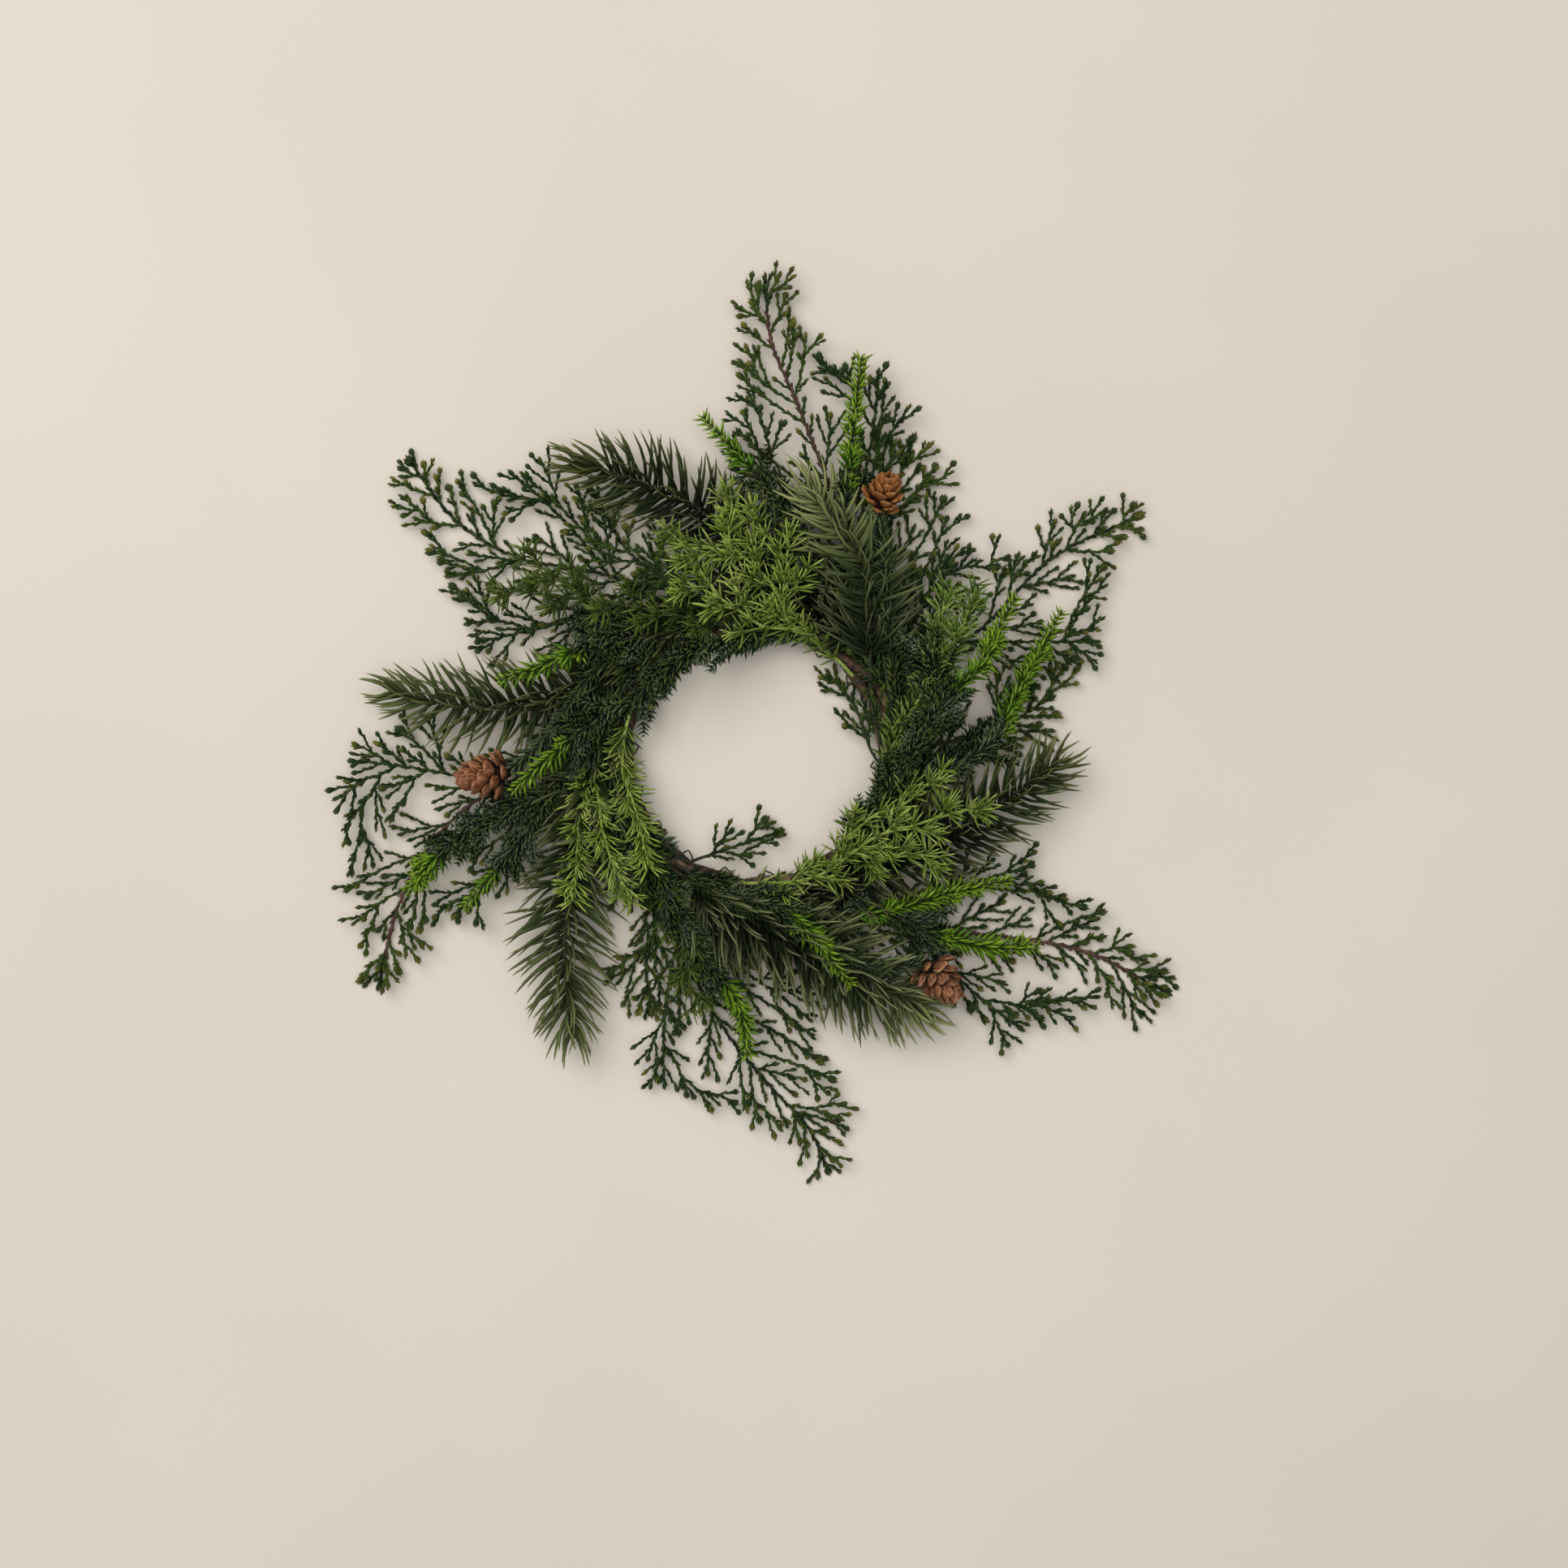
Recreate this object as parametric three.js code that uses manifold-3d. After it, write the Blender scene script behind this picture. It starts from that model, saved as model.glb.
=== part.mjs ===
// An evergreen wreath lying face up: three vines twisted into a ring, with cypress, fir, juniper and deodar
// cut in sprigs and three small cones, all laid anticlockwise round the ring and bound to it with one wire.
// Millimetres, +Z up. The surface it rests on is Z = 0, and +Y is the wreath's top as one looks at it.

import * as THREE from "three";
import { mergeVertices } from "three/addons/utils/BufferGeometryUtils.js";
import Module from "manifold-3d";

const wasm = await Module();
wasm.setup();

// ---------- driving dimensions ----------

const clearance = 0.35; // left between any two pieces that touch on the real wreath
const vineGap = 0.6; // between two vines' round outlines, because their straight pieces come nearer
const ringRadius = 66; // centre line of the vine ring
const vineRadius = 2.7;
const vineTwists = 5; // times the vines turn about each other on the way round
const vineEndGap = 3; // degrees between the two cut ends of one vine
const wireRadius = 0.4;
const wireTurns = 18;
const wireSteps = 10; // straight pieces in one turn
const stemRadius = 1.1; // every sprig's cut end
const stemGrip = 180 / wireTurns; // degrees of the ring along half a cut end, so a turn of wire crosses it
const stemSag = 0.35; // that a cut end's straight pieces fall inside its curve
const wireSag = 0.55; // and the wire's

const twistRadius = (2 * vineRadius + vineGap) / Math.sqrt(3); // three vines side by side round one centre
const bundleRadius = twistRadius + vineRadius;
const laneRadius = bundleRadius + stemSag + clearance + stemRadius; // where the cut ends lie on the ring
const snugRadius = bundleRadius + wireSag + clearance + wireRadius; // the wire where it lies on bare vine
const looseRadius = laneRadius + stemRadius + wireSag + clearance + wireRadius; // and over the cut ends
const ringHeight = snugRadius + wireRadius + 0.6; // the wire under the ring just clears the surface

// ---------- the sprigs ----------
// Each stem goes through its path's points in plan, from the ring's centre, and its tip is at least tipHeight
// high. leftReach and rightReach are how long its side branches are, left and right of the way it grows.

const cypressSprays = {
  cypress_spray_top: {
    path: [[58, 74], [34, 140], [20, 176], [8, 205], [5, 236]], leftReach: 30, rightReach: 44,
  },
  cypress_spray_upper_right: {
    path: [[66, 75], [67, 110], [72, 138], [78, 156]], leftReach: 18, rightReach: 32,
  },
  cypress_spray_right: { path: [[92, 42], [118, 68], [148, 98], [189, 118]], leftReach: 34, rightReach: 50 },
  cypress_spray_right_small: { path: [[98, 0], [124, 14], [146, 28]], leftReach: 13, rightReach: 13 },
  cypress_spray_lower_right: {
    path: [[62, -82], [92, -87], [130, -91], [165, -98], [203, -117]], leftReach: 42, rightReach: 46,
  },
  cypress_spray_bottom: {
    path: [[-36, -98], [-14, -138], [8, -165], [27, -186], [36, -206]], leftReach: 40, rightReach: 46,
  },
  cypress_spray_lower_left: { path: [[-50, -84], [-54, -104], [-52, -126]], leftReach: 18, rightReach: 18 },
  cypress_spray_left: {
    path: [[-112, -8], [-140, -24], [-162, -46], [-177, -75], [-187, -114]], leftReach: 38, rightReach: 54,
  },
  cypress_spray_upper_left: {
    path: [[-52, 84], [-85, 92], [-118, 98], [-148, 116], [-171, 145]], leftReach: 38, rightReach: 38,
  },
  cypress_spray_upper_left_small: { path: [[-36, 86], [-60, 98], [-80, 129]], leftReach: 18, rightReach: 20 },
  cypress_tip_inside_right: {
    path: [[57, 3], [50, 23], [37, 40]], leftReach: 12, rightReach: 8, inside: true,
  },
  cypress_tip_inside_bottom: {
    path: [[-27, -51], [-12, -46], [10, -39]], leftReach: 12, rightReach: 10, inside: true,
  },
};

const firBranches = {
  fir_branch_top: { path: [[54, 92], [42, 112], [27, 131]] },
  fir_branch_upper_left: { path: [[-2, 102], [-28, 121], [-60, 136], [-89, 143]] },
  fir_branch_left: { path: [[-80, 36], [-120, 24], [-152, 25], [-178, 31]] },
  fir_branch_lower_left: { path: [[-86, -40], [-93, -80], [-93, -110], [-90, -136]] },
  fir_branch_lower_right: { path: [[2, -84], [32, -99], [58, -112], [83, -124]] },
  fir_branch_right: { path: [[88, -44], [108, -32], [130, -18], [149, -4]] },
};

// A sprig may fork: each fork leaves the stem where it passes nearest the fork's first point.
const juniperSprigs = {
  juniper_sprig_inside_upper_left: { path: [[-25, 52], [-42, 40], [-50, 24]], inside: true },
  juniper_sprig_top: { path: [[44, 104], [46, 135], [49, 165], [52, 193]] },
  juniper_sprig_top_left: { path: [[20, 112], [-3, 142], [-15, 155], [-26, 166]] },
  juniper_sprig_upper_left: { path: [[-60, 58], [-84, 52], [-104, 43], [-124, 36]] },
  juniper_sprig_upper_left_dark: { path: [[-40, 66], [-66, 68], [-92, 64]] },
  juniper_sprig_left: { path: [[-74, 20], [-90, 6], [-104, -5], [-117, -17]] },
  juniper_sprig_lower_left: {
    path: [[-98, -12], [-110, -36], [-124, -54], [-142, -74]],
    forks: [[[-104, -22], [-128, -30], [-156, -50], [-172, -68]]],
  },
  juniper_sprig_bottom: { path: [[-36, -80], [-24, -100], [-8, -122], [-3, -148]] },
  juniper_sprig_bottom_right: { path: [[-14, -68], [6, -72], [24, -84], [48, -114]] },
  juniper_sprig_lower_right: {
    path: [[36, -78], [66, -77], [95, -68], [125, -62]],
    forks: [[[66, -77], [88, -88], [112, -94], [140, -95]]],
  },
  juniper_sprig_right: { path: [[92, -8], [114, 4], [132, 36], [151, 71]] },
  juniper_sprig_right_inner: {
    path: [[88, 20], [108, 42], [118, 60], [127, 76]],
    forks: [[[88, 20], [88, 38], [80, 56]]],
  },
};

const deodarSprigs = {
  deodar_sprig_top: {
    path: [[30, 58], [17, 62], [14, 72], [8, 84], [-8, 99], [-17, 108]],
    forks: [
      [[17, 62], [4, 63], [-4, 68], [-20, 78], [-33, 84]],
      [[14, 72], [16, 92], [7, 106], [-3, 114], [-16, 125]],
      [[-8, 99], [-21, 97], [-29, 100], [-43, 104]],
    ],
  },
  deodar_sprig_left: {
    path: [[-74, 3], [-80, -6], [-85, -17], [-87, -40], [-88, -70]],
    forks: [[[-80, -6], [-77, -22], [-74, -40], [-68, -56], [-60, -71]]],
  },
  deodar_sprig_left_inner: { path: [[-65, -10], [-60, -22], [-56, -36], [-52, -54]] },
  deodar_sprig_lower_right: {
    path: [[22, -62], [36, -57], [48, -48], [60, -40], [80, -34], [112, -24]],
    forks: [
      [[36, -57], [47, -40], [60, -29], [72, -25], [91, -8]],
      [[48, -48], [60, -51], [78, -49], [91, -50]],
    ],
  },
  deodar_sprig_upper_right: {
    path: [[76, 20], [84, 34], [90, 58], [93, 80]],
    forks: [[[84, 34], [98, 54], [108, 82]]],
  },
};

const lowDeodarSprigs = {
  deodar_sprig_upper_left: {
    path: [[-46, 70], [-80, 76], [-104, 78], [-126, 82]],
    forks: [[[-80, 76], [-98, 88], [-112, 95]]],
  },
  deodar_sprig_bottom: { path: [[-42, -74], [-33, -100], [-31, -124]] },
};

// A cone's path is its twig's, and the cone sits past its last point, pointing along axis.
const pineCones = {
  pine_cone_top: { path: [[66, 64], [64, 98], [60, 121]], axis: [0.02, 0.86, 0.5] },
  pine_cone_left: { path: [[-74, 44], [-102, 8], [-121, -9]], axis: [-0.95, -0.12, 0.28] },
  pine_cone_lower_right: { path: [[18, -86], [60, -104], [84, -102]], axis: [0.5, -0.82, 0.28] },
};

// What each kind of sprig looks like. lane is the best place for its cut end round the ring's section, in
// degrees from straight outwards, and bare is the share of the stem, from that end, that carries no leaves.
const cypress = { lane: -14, tipHeight: 1.5, bare: 0.34, branchStep: 31, branchAngle: 40, shortest: 9 };
const fir = { lane: 32, tipHeight: 18, bare: 0.3, needleStep: 24, needleAngle: 50, needleLength: 24 };
const juniper = { lane: 65, tipHeight: 22, bare: 0.25, tuftStep: 22, tuftMouth: 4.4 };
const deodar = { lane: 98, tipHeight: 28, bare: 0.16, tuftStep: 26, needleAngle: 44, needleLength: 13 };
const lowDeodar = { ...deodar, lane: 54, tipHeight: 19 };
const cone = { lane: 76, tipHeight: 22, length: 23, radius: 9.5, tiers: 3, scales: 5 };
const outsideLanes = { from: -34, to: 131 };
const insideLanes = { from: 120, to: 142 };
const stemStep = 20; // length of a stem's straight pieces

// To find its place between the others a stem may lie in another lane, be cut off earlier or later along the
// ring, or be lifted over them. The costs weigh a degree of each against a millimetre of lift.
const highestLift = 30;
const furthestShift = 30; // degrees
const laneStep = 11;
const shiftCost = 0.12;
const laneCost = 0.02;

// ---------- small helpers ----------

const radians = THREE.MathUtils.degToRad;
const degreesOf = THREE.MathUtils.radToDeg;
const up = new THREE.Vector3(0, 0, 1);

/** The point at lane degrees round the ring's section from straight outwards, reach from its centre line. */
function roundTheRing(degrees, lane, reach) {
  const across = ringRadius + reach * Math.cos(radians(lane));
  const height = ringHeight + reach * Math.sin(radians(lane));
  return new THREE.Vector3(across * Math.cos(radians(degrees)), across * Math.sin(radians(degrees)), height);
}

function tube(curve, radius, steps, sides) {
  const corners = Array.from({ length: sides }, (_, i) => {
    const turn = (2 * Math.PI * i) / sides;
    return new THREE.Vector2(radius * Math.cos(turn), radius * Math.sin(turn));
  });
  const section = new THREE.Shape(corners);
  return new THREE.ExtrudeGeometry(section, { steps, extrudePath: curve, curveSegments: 1 });
}

/** The turn from +Y, which cylinders and cones point along, to the direction. */
function turnTo(direction) {
  return new THREE.Quaternion().setFromUnitVectors(new THREE.Vector3(0, 1, 0), direction);
}

/** A straight tapered piece from one point to another, as a solid. */
function taperedPiece(from, to, startRadius, endRadius, sides) {
  const along = to.clone().sub(from);
  const geometry = new THREE.CylinderGeometry(endRadius, startRadius, along.length(), sides);
  geometry.translate(0, along.length() / 2, 0);
  geometry.applyQuaternion(turnTo(along.normalize()));
  geometry.translate(from.x, from.y, from.z);
  return solidOf(geometry);
}

function solidOf(geometry) {
  const bare = new THREE.BufferGeometry().setAttribute("position", geometry.getAttribute("position"));
  if (geometry.index) bare.setIndex(geometry.index);
  const merged = mergeVertices(bare, 1e-4);
  const vertProperties = merged.attributes.position.array;
  const triVerts = new Uint32Array(merged.index.array);
  return new wasm.Manifold(new wasm.Mesh({ numProp: 3, vertProperties, triVerts }));
}

function geometryOf(solid) {
  const { numProp, vertProperties, triVerts, numVert } = solid.getMesh();
  const position = new Float32Array(numVert * 3);
  for (let i = 0; i < numVert; i++) {
    position.set(vertProperties.subarray(i * numProp, i * numProp + 3), i * 3);
  }
  return new THREE.BufferGeometry()
    .setAttribute("position", new THREE.BufferAttribute(position, 3))
    .setIndex(new THREE.BufferAttribute(triVerts, 1));
}

// ---------- keeping the pieces apart ----------
// Everything is made of straight limbs. A leaf or branch grows only where it clears all other pieces' limbs.

const limbs = [];

/** Shortest distance between the segments from a to b and from c to d. */
function distanceBetween(a, b, c, d) {
  const u = b.clone().sub(a);
  const v = d.clone().sub(c);
  const w = a.clone().sub(c);
  const [uu, vv, uv, uw, vw] = [u.dot(u), v.dot(v), u.dot(v), u.dot(w), v.dot(w)];
  const bend = uu * vv - uv * uv;
  const clamp = (x) => Math.min(1, Math.max(0, x));
  let s = bend > 1e-9 ? clamp((uv * vw - vv * uw) / bend) : 0;
  const t = clamp((uv * s + vw) / vv);
  s = clamp((uv * t - uw) / uu);
  return a.clone().addScaledVector(u, s).distanceTo(c.clone().addScaledVector(v, t));
}

function isClear(owner, from, to, radius) {
  if (Math.min(from.z, to.z) < radius) return false;
  const middle = from.clone().add(to).multiplyScalar(0.5);
  const half = from.distanceTo(to) / 2;
  return limbs.every((limb) => {
    const apart = radius + limb.radius + clearance;
    if (limb.owner === owner || limb.middle.distanceTo(middle) > half + limb.half + apart) return true;
    return distanceBetween(from, to, limb.from, limb.to) > apart;
  });
}

function claim(owner, from, to, radius) {
  const middle = from.clone().add(to).multiplyScalar(0.5);
  limbs.push({ owner, from, to, radius, middle, half: from.distanceTo(to) / 2 });
}

const claimLine = (owner, points, radius) =>
  points.slice(1).forEach((point, i) => claim(owner, points[i], point, radius));

const lineIsClear = (owner, points, radius) =>
  points.slice(1).every((point, i) => isClear(owner, points[i], point, radius));

// ---------- the ring and its wire ----------

class VinePath extends THREE.Curve {
  constructor(phase) {
    super();
    this.phase = phase;
  }

  getPoint(t, target = new THREE.Vector3()) {
    const degrees = this.phase + vineEndGap / 2 + t * (360 - vineEndGap);
    return target.copy(roundTheRing(degrees, this.phase + vineTwists * degrees, twistRadius));
  }
}

/** One wire wound on and on round the ring: snug on the bare vine below, wider over the cut ends above. */
class WirePath extends THREE.Curve {
  getPoint(t, target = new THREE.Vector3()) {
    const lane = 200 + 360 * wireTurns * t;
    const overStems = THREE.MathUtils.smoothstep(Math.cos(radians(lane - 52)), -0.7, 0.05);
    const reach = THREE.MathUtils.lerp(snugRadius, looseRadius, overStems);
    return target.copy(roundTheRing(t * (360 - vineEndGap), lane, reach));
  }
}

const wreath = new THREE.Group();
wreath.name = "wreath";

const finishes = {
  vine: { color: 0x5b4232, roughness: 0.9 },
  wire: { color: 0x2c3626, roughness: 0.5, metalness: 0.6 },
  cypress: { color: 0x23492f, roughness: 0.6 },
  fir: { color: 0x3c5436, roughness: 0.55 },
  juniper: { color: 0x3f7526, roughness: 0.6 },
  deodar: { color: 0x6e9440, roughness: 0.55 },
  cone: { color: 0x94562f, roughness: 0.75 },
};

function addPiece(name, geometry, finish) {
  const piece = new THREE.Mesh(geometry, new THREE.MeshStandardMaterial(finish));
  piece.name = name;
  wreath.add(piece);
}

function makeRing() {
  const steps = 48;
  for (let i = 0; i < 3; i++) {
    const name = `vine_${i + 1}`;
    const path = new VinePath(120 * i);
    addPiece(name, tube(path, vineRadius, steps, 6), finishes.vine);
    claimLine(name, path.getSpacedPoints(steps), vineRadius);
  }
}

function makeWire() {
  const path = new WirePath();
  const steps = wireTurns * wireSteps;
  addPiece("binding_wire", tube(path, wireRadius, steps, 3), finishes.wire);
  claimLine("binding_wire", path.getSpacedPoints(steps), wireRadius);
}

// ---------- stems ----------

/** The stem's curve: its cut end along the ring, then out through its points, rising evenly to its tip. */
function stemCurve(path, tipHeight, endAngle, lane, lift) {
  const onRing = [-1, 0, 1].map((half) => roundTheRing(endAngle + half * stemGrip, lane, laneRadius));
  const leaving = onRing[2];
  let run = 0;
  const runs = path.map(([x, y], i) => {
    const [fromX, fromY] = i ? path[i - 1] : [leaving.x, leaving.y];
    run += Math.hypot(x - fromX, y - fromY);
    return run;
  });
  const outside = path.map(([x, y], i) => {
    const share = runs[i] / run;
    const raised = lift * Math.min(1, 2.2 * share);
    return new THREE.Vector3(x, y, THREE.MathUtils.lerp(leaving.z, tipHeight, share) + raised);
  });
  return new THREE.CatmullRomCurve3([...onRing, ...outside], false, "centripetal");
}

/** Every lane, shift along the ring and lift that a stem may take, least trouble first. */
function placesFor(best, { from, to }) {
  const places = [];
  for (let lane = from; lane <= to; lane += laneStep) {
    for (let shift = -furthestShift; shift <= furthestShift / 3; shift += 1) {
      for (let lift = 0; lift < highestLift; lift += 1) {
        const trouble = lift + Math.abs(shift) * shiftCost + Math.abs(lane - best) * laneCost;
        places.push({ lane, shift, lift, trouble });
      }
    }
  }
  return places.sort((a, b) => a.trouble - b.trouble);
}

/** Lays the stem low, with its cut end near to where it would leave the ring, and clear of all the others. */
function layStem({ name, kind, path, inside }) {
  const [x, y] = path[0];
  const straightOut = Math.acos(Math.min(0.97, (ringRadius + laneRadius) / Math.hypot(x, y)));
  const wanted = degreesOf(Math.atan2(y, x) - straightOut) - stemGrip;
  const places = inside ? placesFor(insideLanes.to, insideLanes) : placesFor(kind.lane, outsideLanes);
  for (const { lane, shift, lift } of places) {
    const curve = stemCurve(path, kind.tipHeight, wanted + shift, lane, lift);
    const steps = Math.ceil(curve.getLength() / stemStep);
    const points = curve.getSpacedPoints(steps);
    if (lineIsClear(name, points, stemRadius)) {
      claimLine(name, points, stemRadius);
      return { curve, steps, points };
    }
  }
  throw new Error(`${name} finds no room`);
}

/** A place along a line of points: where it is, the way it runs, its left, and its own upward way. */
function placeAlong(points, share) {
  const at = share * (points.length - 1);
  const i = Math.min(points.length - 2, Math.floor(at));
  const point = points[i].clone().lerp(points[i + 1], at - i);
  const forward = points[i + 1].clone().sub(points[i]).normalize();
  const left = up.clone().cross(forward).normalize();
  return { point, forward, left, over: forward.clone().cross(left).normalize() };
}

/** The direction that leans off forward by angle, towards the side that turn degrees up from left gives. */
function leaning({ forward, left, over }, angle, turn) {
  const [tilt, bend] = [radians(turn), radians(angle)];
  const side = left.clone().multiplyScalar(Math.cos(tilt)).addScaledVector(over, Math.sin(tilt));
  return forward.clone().multiplyScalar(Math.cos(bend)).addScaledVector(side, Math.sin(bend));
}

/** Grows one tapered limb if it clears the other pieces, and returns its end, or null. */
function growLimb(solids, owner, from, direction, length, startRadius, endRadius, sides) {
  const to = from.clone().addScaledVector(direction, length);
  const widest = Math.max(startRadius, endRadius);
  const outside = from.clone().addScaledVector(direction, stemRadius);
  if (!isClear(owner, outside, to, widest)) return null;
  claim(owner, outside, to, widest);
  solids.push(taperedPiece(from, to, startRadius, endRadius, sides));
  return to;
}

// ---------- the four kinds of foliage ----------

/** A flat spray: side branches to left and right. */
function growCypress(sprig, solids) {
  const { name, stem } = sprig;
  const bare = sprig.inside ? 0.55 : cypress.bare;
  const leafy = stem.curve.getLength() * (1 - bare);
  const count = Math.max(3, Math.round(leafy / cypress.branchStep));
  for (let i = 0; i < count; i++) {
    const share = (i + 0.5) / count;
    const place = placeAlong(stem.points, bare + (1 - bare) * share);
    for (const side of [1, -1]) {
      const spread = side > 0 ? sprig.leftReach : sprig.rightReach;
      const length = Math.max(cypress.shortest, spread * (1.15 - 0.95 * share));
      for (const tilt of [0, 8, -8, 16, -16, 24]) {
        const direction = leaning(place, side * cypress.branchAngle, tilt * side);
        if (growLimb(solids, name, place.point, direction, length, 0.9, 1.4, 3)) break;
      }
    }
  }
}

/** Long needles to both sides and over the top. */
function growFir({ name, stem }, solids) {
  const leafy = stem.curve.getLength() * (1 - fir.bare);
  const count = Math.round(leafy / fir.needleStep);
  for (let i = 0; i < count; i++) {
    const share = (i + 0.5) / count;
    const place = placeAlong(stem.points, fir.bare + (1 - fir.bare) * share);
    for (const turn of i % 2 ? [-4, 184, 58] : [10, 170, 122]) {
      const direction = leaning(place, fir.needleAngle * (1 - 0.45 * share ** 3), turn);
      growLimb(solids, name, place.point, direction, fir.needleLength, 0.9, 0, 3);
    }
  }
}

/** The stem and its forks, each with the share of it that is bare. */
function leafyLines({ stem, kind, forkLines }) {
  const forks = forkLines.map(({ points }) => ({ points, bare: 0.08 }));
  return [{ points: stem.points, bare: kind.bare }, ...forks];
}

const lengthOf = (points) => points.slice(1).reduce((sum, point, i) => sum + point.distanceTo(points[i]), 0);

/** Short needles all round, as a row of cups that open forwards. */
function growJuniper(sprig, solids) {
  for (const { points, bare } of leafyLines(sprig)) {
    const count = Math.round((lengthOf(points) * (1 - bare)) / juniper.tuftStep);
    for (let i = 0; i < count; i++) {
      const { point, forward } = placeAlong(points, bare + (1 - bare) * ((i + 0.35) / count));
      for (const mouth of [1, 0.8, 0.6]) {
        const width = juniper.tuftMouth * mouth;
        if (growLimb(solids, sprig.name, point, forward, juniper.tuftStep * 0.75, 0.9, width, 4)) break;
      }
    }
  }
}

/** Tufts of slim needles along the stem and along each fork. */
function growDeodar(sprig, solids) {
  for (const { points, bare } of leafyLines(sprig)) {
    const count = Math.round((lengthOf(points) * (1 - bare)) / deodar.tuftStep);
    for (let i = 0; i < count; i++) {
      const place = placeAlong(points, bare + (1 - bare) * ((i + 0.6) / count));
      for (const turn of i % 2 ? [15, 165, 100] : [-5, 185, 80]) {
        const direction = leaning(place, deodar.needleAngle, turn);
        growLimb(solids, sprig.name, place.point, direction, deodar.needleLength, 0.7, 0, 3);
      }
    }
  }
}

/** A fork: it starts on the stem where that passes nearest the fork's first point, and rises with it. */
function layFork({ name, stem }, fork) {
  const [startX, startY] = fork[0];
  const flat = (point) => Math.hypot(point.x - startX, point.y - startY);
  const start = stem.points.slice(2).reduce((best, point) => (flat(point) < flat(best) ? point : best));
  for (let lift = 0; lift < 24; lift += 0.5) {
    const through = fork.slice(1).map(([x, y], i) => {
      const share = (i + 1) / (fork.length - 1);
      return new THREE.Vector3(x, y, start.z + 3 * share + lift * Math.min(1, 1.6 * share));
    });
    const curve = new THREE.CatmullRomCurve3([start.clone(), ...through], false, "centripetal");
    const steps = Math.ceil(curve.getLength() / stemStep);
    const points = curve.getSpacedPoints(steps);
    if (lineIsClear(name, points, stemRadius)) {
      claimLine(name, points, stemRadius);
      return { points, solid: solidOf(tube(curve, stemRadius * 0.8, steps, 4)) };
    }
  }
  return null;
}

// ---------- cones ----------

/** Scales in tiers round a core, standing on the twig's end. */
function growCone({ base, direction }, solids) {
  const turn = turnTo(direction);
  const inPlace = (x, y, z) => new THREE.Vector3(x, y, z).applyQuaternion(turn).add(base);
  const top = inPlace(0, cone.length * 0.85, 0);
  solids.push(taperedPiece(inPlace(0, -1, 0), top, cone.radius * 0.45, 1.5, 6));
  for (let tier = 0; tier < cone.tiers; tier++) {
    const share = tier / (cone.tiers - 1);
    const height = cone.length * (0.1 + 0.62 * share);
    const reach = cone.radius * Math.sin(Math.PI * (0.4 + 0.45 * share));
    const count = tier === cone.tiers - 1 ? 3 : cone.scales;
    for (let i = 0; i < count; i++) {
      const around = 2 * Math.PI * ((i + (tier % 2) / 2) / count);
      const tip = inPlace(reach * 0.8 * Math.cos(around), height + 3, reach * 0.8 * Math.sin(around));
      solids.push(taperedPiece(inPlace(0, height - 2.5, 0), tip, 0.9, 2.6, 3));
    }
  }
}

// ---------- building it all ----------
// All stems are laid before any leaf grows, lowest kind first, so that the leaves fill the room left over.

makeRing();
makeWire();

const kinds = [
  { table: cypressSprays, kind: cypress, finish: finishes.cypress, grow: growCypress },
  { table: firBranches, kind: fir, finish: finishes.fir, grow: growFir },
  { table: pineCones, kind: cone, finish: finishes.cone, grow: growCone },
  { table: lowDeodarSprigs, kind: lowDeodar, finish: finishes.deodar, grow: growDeodar },
  { table: juniperSprigs, kind: juniper, finish: finishes.juniper, grow: growJuniper },
  { table: deodarSprigs, kind: deodar, finish: finishes.deodar, grow: growDeodar },
];

const sprigs = kinds.flatMap(({ table, ...look }) =>
  Object.entries(table).map(([name, sprig]) => ({ name, ...look, ...sprig })),
);

for (const sprig of sprigs) {
  sprig.stem = layStem(sprig);
  sprig.forkLines = (sprig.forks ?? []).map((fork) => layFork(sprig, fork)).filter(Boolean);
  if (sprig.kind === cone) {
    sprig.base = sprig.stem.points.at(-1).clone();
    sprig.direction = new THREE.Vector3(...sprig.axis).normalize();
    const tip = sprig.base.clone().addScaledVector(sprig.direction, cone.length);
    claim(sprig.name, sprig.base, tip, cone.radius);
  }
}

for (const sprig of sprigs) {
  const { curve, steps } = sprig.stem;
  const solids = [solidOf(tube(curve, stemRadius, steps, 4)), ...sprig.forkLines.map(({ solid }) => solid)];
  sprig.grow(sprig, solids);
  addPiece(sprig.name, geometryOf(wasm.Manifold.union(solids).simplify(0.03)), sprig.finish);
}

// The part's origin is under the middle of its outline, on the surface.
const outline = new THREE.Box3().setFromObject(wreath);
const middle = outline.getCenter(new THREE.Vector3());
wreath.position.set(-middle.x, -middle.y, -outline.min.z);

export default wreath;
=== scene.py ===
import math
import random

import bmesh
import bpy
import numpy as np
from mathutils import Matrix, Vector, noise


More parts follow.
